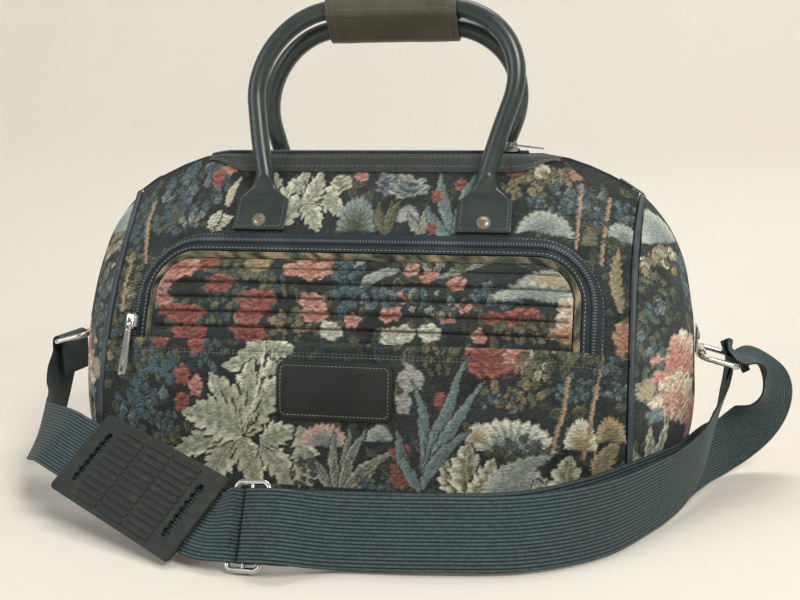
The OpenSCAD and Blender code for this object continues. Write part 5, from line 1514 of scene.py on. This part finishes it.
pad_plate = softened("pad_plate", "shoulder_pad", 0.5, pad_rubber, reshape=without_ribs)
dress(pad_plate, "pad", "pad", "shoulder_pad")
RIB_LEN, RIB_GAP, RIB_W, RIB_H, RIB_HALF, RIB_ROWS = 29.0, 2.4, 3.2, 1.6, 29.0, 12
rib_v = np.linspace(-RIB_HALF, RIB_HALF, RIB_ROWS)[:, None]
rib_columns = [(PAD_MID + c * (RIB_LEN + RIB_GAP) * PAD_ALONG + PAD_T * PAD_OUT + rib_v * PAD_ACROSS, PAD_OUT)
               for c in (-1, 0, 1)]
rib_pitch = 2 * RIB_HALF / (RIB_ROWS - 1)
pad_ribs = run_of("pad_ribs", rib_columns, rib_pitch, (RIB_W, RIB_LEN, RIB_H), pad_rubber, square=True)
dress(pad_ribs, "pad", "pad")

stud_outline = [(4.0, 0), (4.0, 0.5), (3.7, 1.2), (3.0, 1.9), (2.0, 2.3), (1.0, 2.5), (0.05, 2.55)]
for x_side, word in SIDES:
    stud = lathe(f"{word}_stud", stud_outline, np.array([x_side * STUD_X, 0, STUD_H]),
                 np.array([0.0, x_side, 0]), up, np.array([x_side, 0.0, 0]), bright_metal)
    dress(stud, "bag", "metal", f"{word}_bracket_rivet")
for node, material in (("left_ring", bright_metal), ("right_ring", bright_metal),
                       ("strap_adjuster", bright_metal), ("base_board", board_fibre),
                       ("pocket_zip", zip_tape), ("main_zip", zip_tape)):
    for place in record_nodes[node].material_slots:
        place.material = material


# Stage, light and camera
def stage_material(name, rgb):
    material = bpy.data.materials.new(name)
    material.use_nodes = True
    bsdf = material.node_tree.nodes["Principled BSDF"]
    n = Nodes(material.node_tree)
    spot = n.add("ShaderNodeTexCoord").outputs["Object"]
    cloud = n.add("ShaderNodeTexNoise", {"Vector": spot, "Scale": 6.0, "Detail": 4.0}).outputs[0]
    tone = n.mix(n.grade(cloud, 0.3, 0.7), (*rgb * 0.97, 1), (*rgb, 1))
    n.tree.links.new(tone, bsdf.inputs["Base Color"])
    bsdf.inputs["Roughness"].default_value = 0.9
    bsdf.inputs["Specular IOR Level"].default_value = 0.1
    behind = n.add("ShaderNodeNewGeometry").outputs["Backfacing"]
    clear = n.add("ShaderNodeBsdfTransparent").outputs[0]
    seen = n.add("ShaderNodeMixShader", {0: behind, 1: bsdf.outputs[0], 2: clear}).outputs[0]
    n.tree.links.new(seen, n.tree.nodes["Material Output"].inputs["Surface"])
    return material


def sweep():
    """A floor that rises into a backdrop in one curve. From behind, the backdrop is clear."""
    turn = np.radians(np.linspace(0, 90, 16))
    floor = [(y, 0.0) for y in np.linspace(-1500, 500, 8)]
    curve = [(500 + 300 * math.sin(a), 300 - 300 * math.cos(a)) for a in turn[1:]]
    rise = [(800, z) for z in (600, 1200, 2200)]
    path = np.array(floor + curve + rise)
    x = np.linspace(-2500, 2500, 12)
    across, y = np.meshgrid(x, path[:, 0])
    grid = np.stack([across, y, np.repeat(path[:, 1:], len(x), 1)], -1)
    return make_piece("floor_sweep", grid.reshape(-1, 3), grid_faces(*across.shape),
                      stage_material("pale_floor", linear(232, 227, 217)))


sweep()


def soft_lamp(name, spot, aim, size, power, tint):
    lamp = bpy.data.lights.new(name, "AREA")
    lamp.shape, lamp.size, lamp.energy, lamp.color = "DISK", size, power, tint
    holder = bpy.data.objects.new(name, lamp)
    holder.location = spot
    holder.rotation_euler = (Vector(aim) - Vector(spot)).to_track_quat("-Z", "Y").to_euler()
    bpy.context.scene.collection.objects.link(holder)


soft_lamp("key", (1.3, -1.5, 1.7), (0, 0, 0.15), 1.1, 38, (1.0, 0.97, 0.92))
soft_lamp("fill", (-1.7, -1.4, 1.0), (0, 0, 0.15), 1.6, 14, (0.95, 0.98, 1.0))
soft_lamp("top", (0.1, 0.5, 1.9), (0, 0, 0.2), 1.3, 16, (1.0, 0.99, 0.97))
world = bpy.data.worlds.new("room")
world.use_nodes = True
world.node_tree.nodes["Background"].inputs[0].default_value = (0.98, 0.97, 0.95, 1)
world.node_tree.nodes["Background"].inputs[1].default_value = 0.35
bpy.context.scene.world = world

EYE, HEADING, DIP, LENS = (0.2002, -0.9420, 0.284), 11.1, 8.0, 49.5
camera = bpy.data.objects.new("camera", bpy.data.cameras.new("camera"))
camera.data.lens, camera.data.sensor_width = LENS, 36.0
camera.location = EYE
camera.rotation_euler = (math.radians(90 - DIP), 0, math.radians(HEADING))
bpy.context.scene.collection.objects.link(camera)
bpy.context.scene.camera = camera
bpy.context.scene.view_settings.view_transform = "Standard"
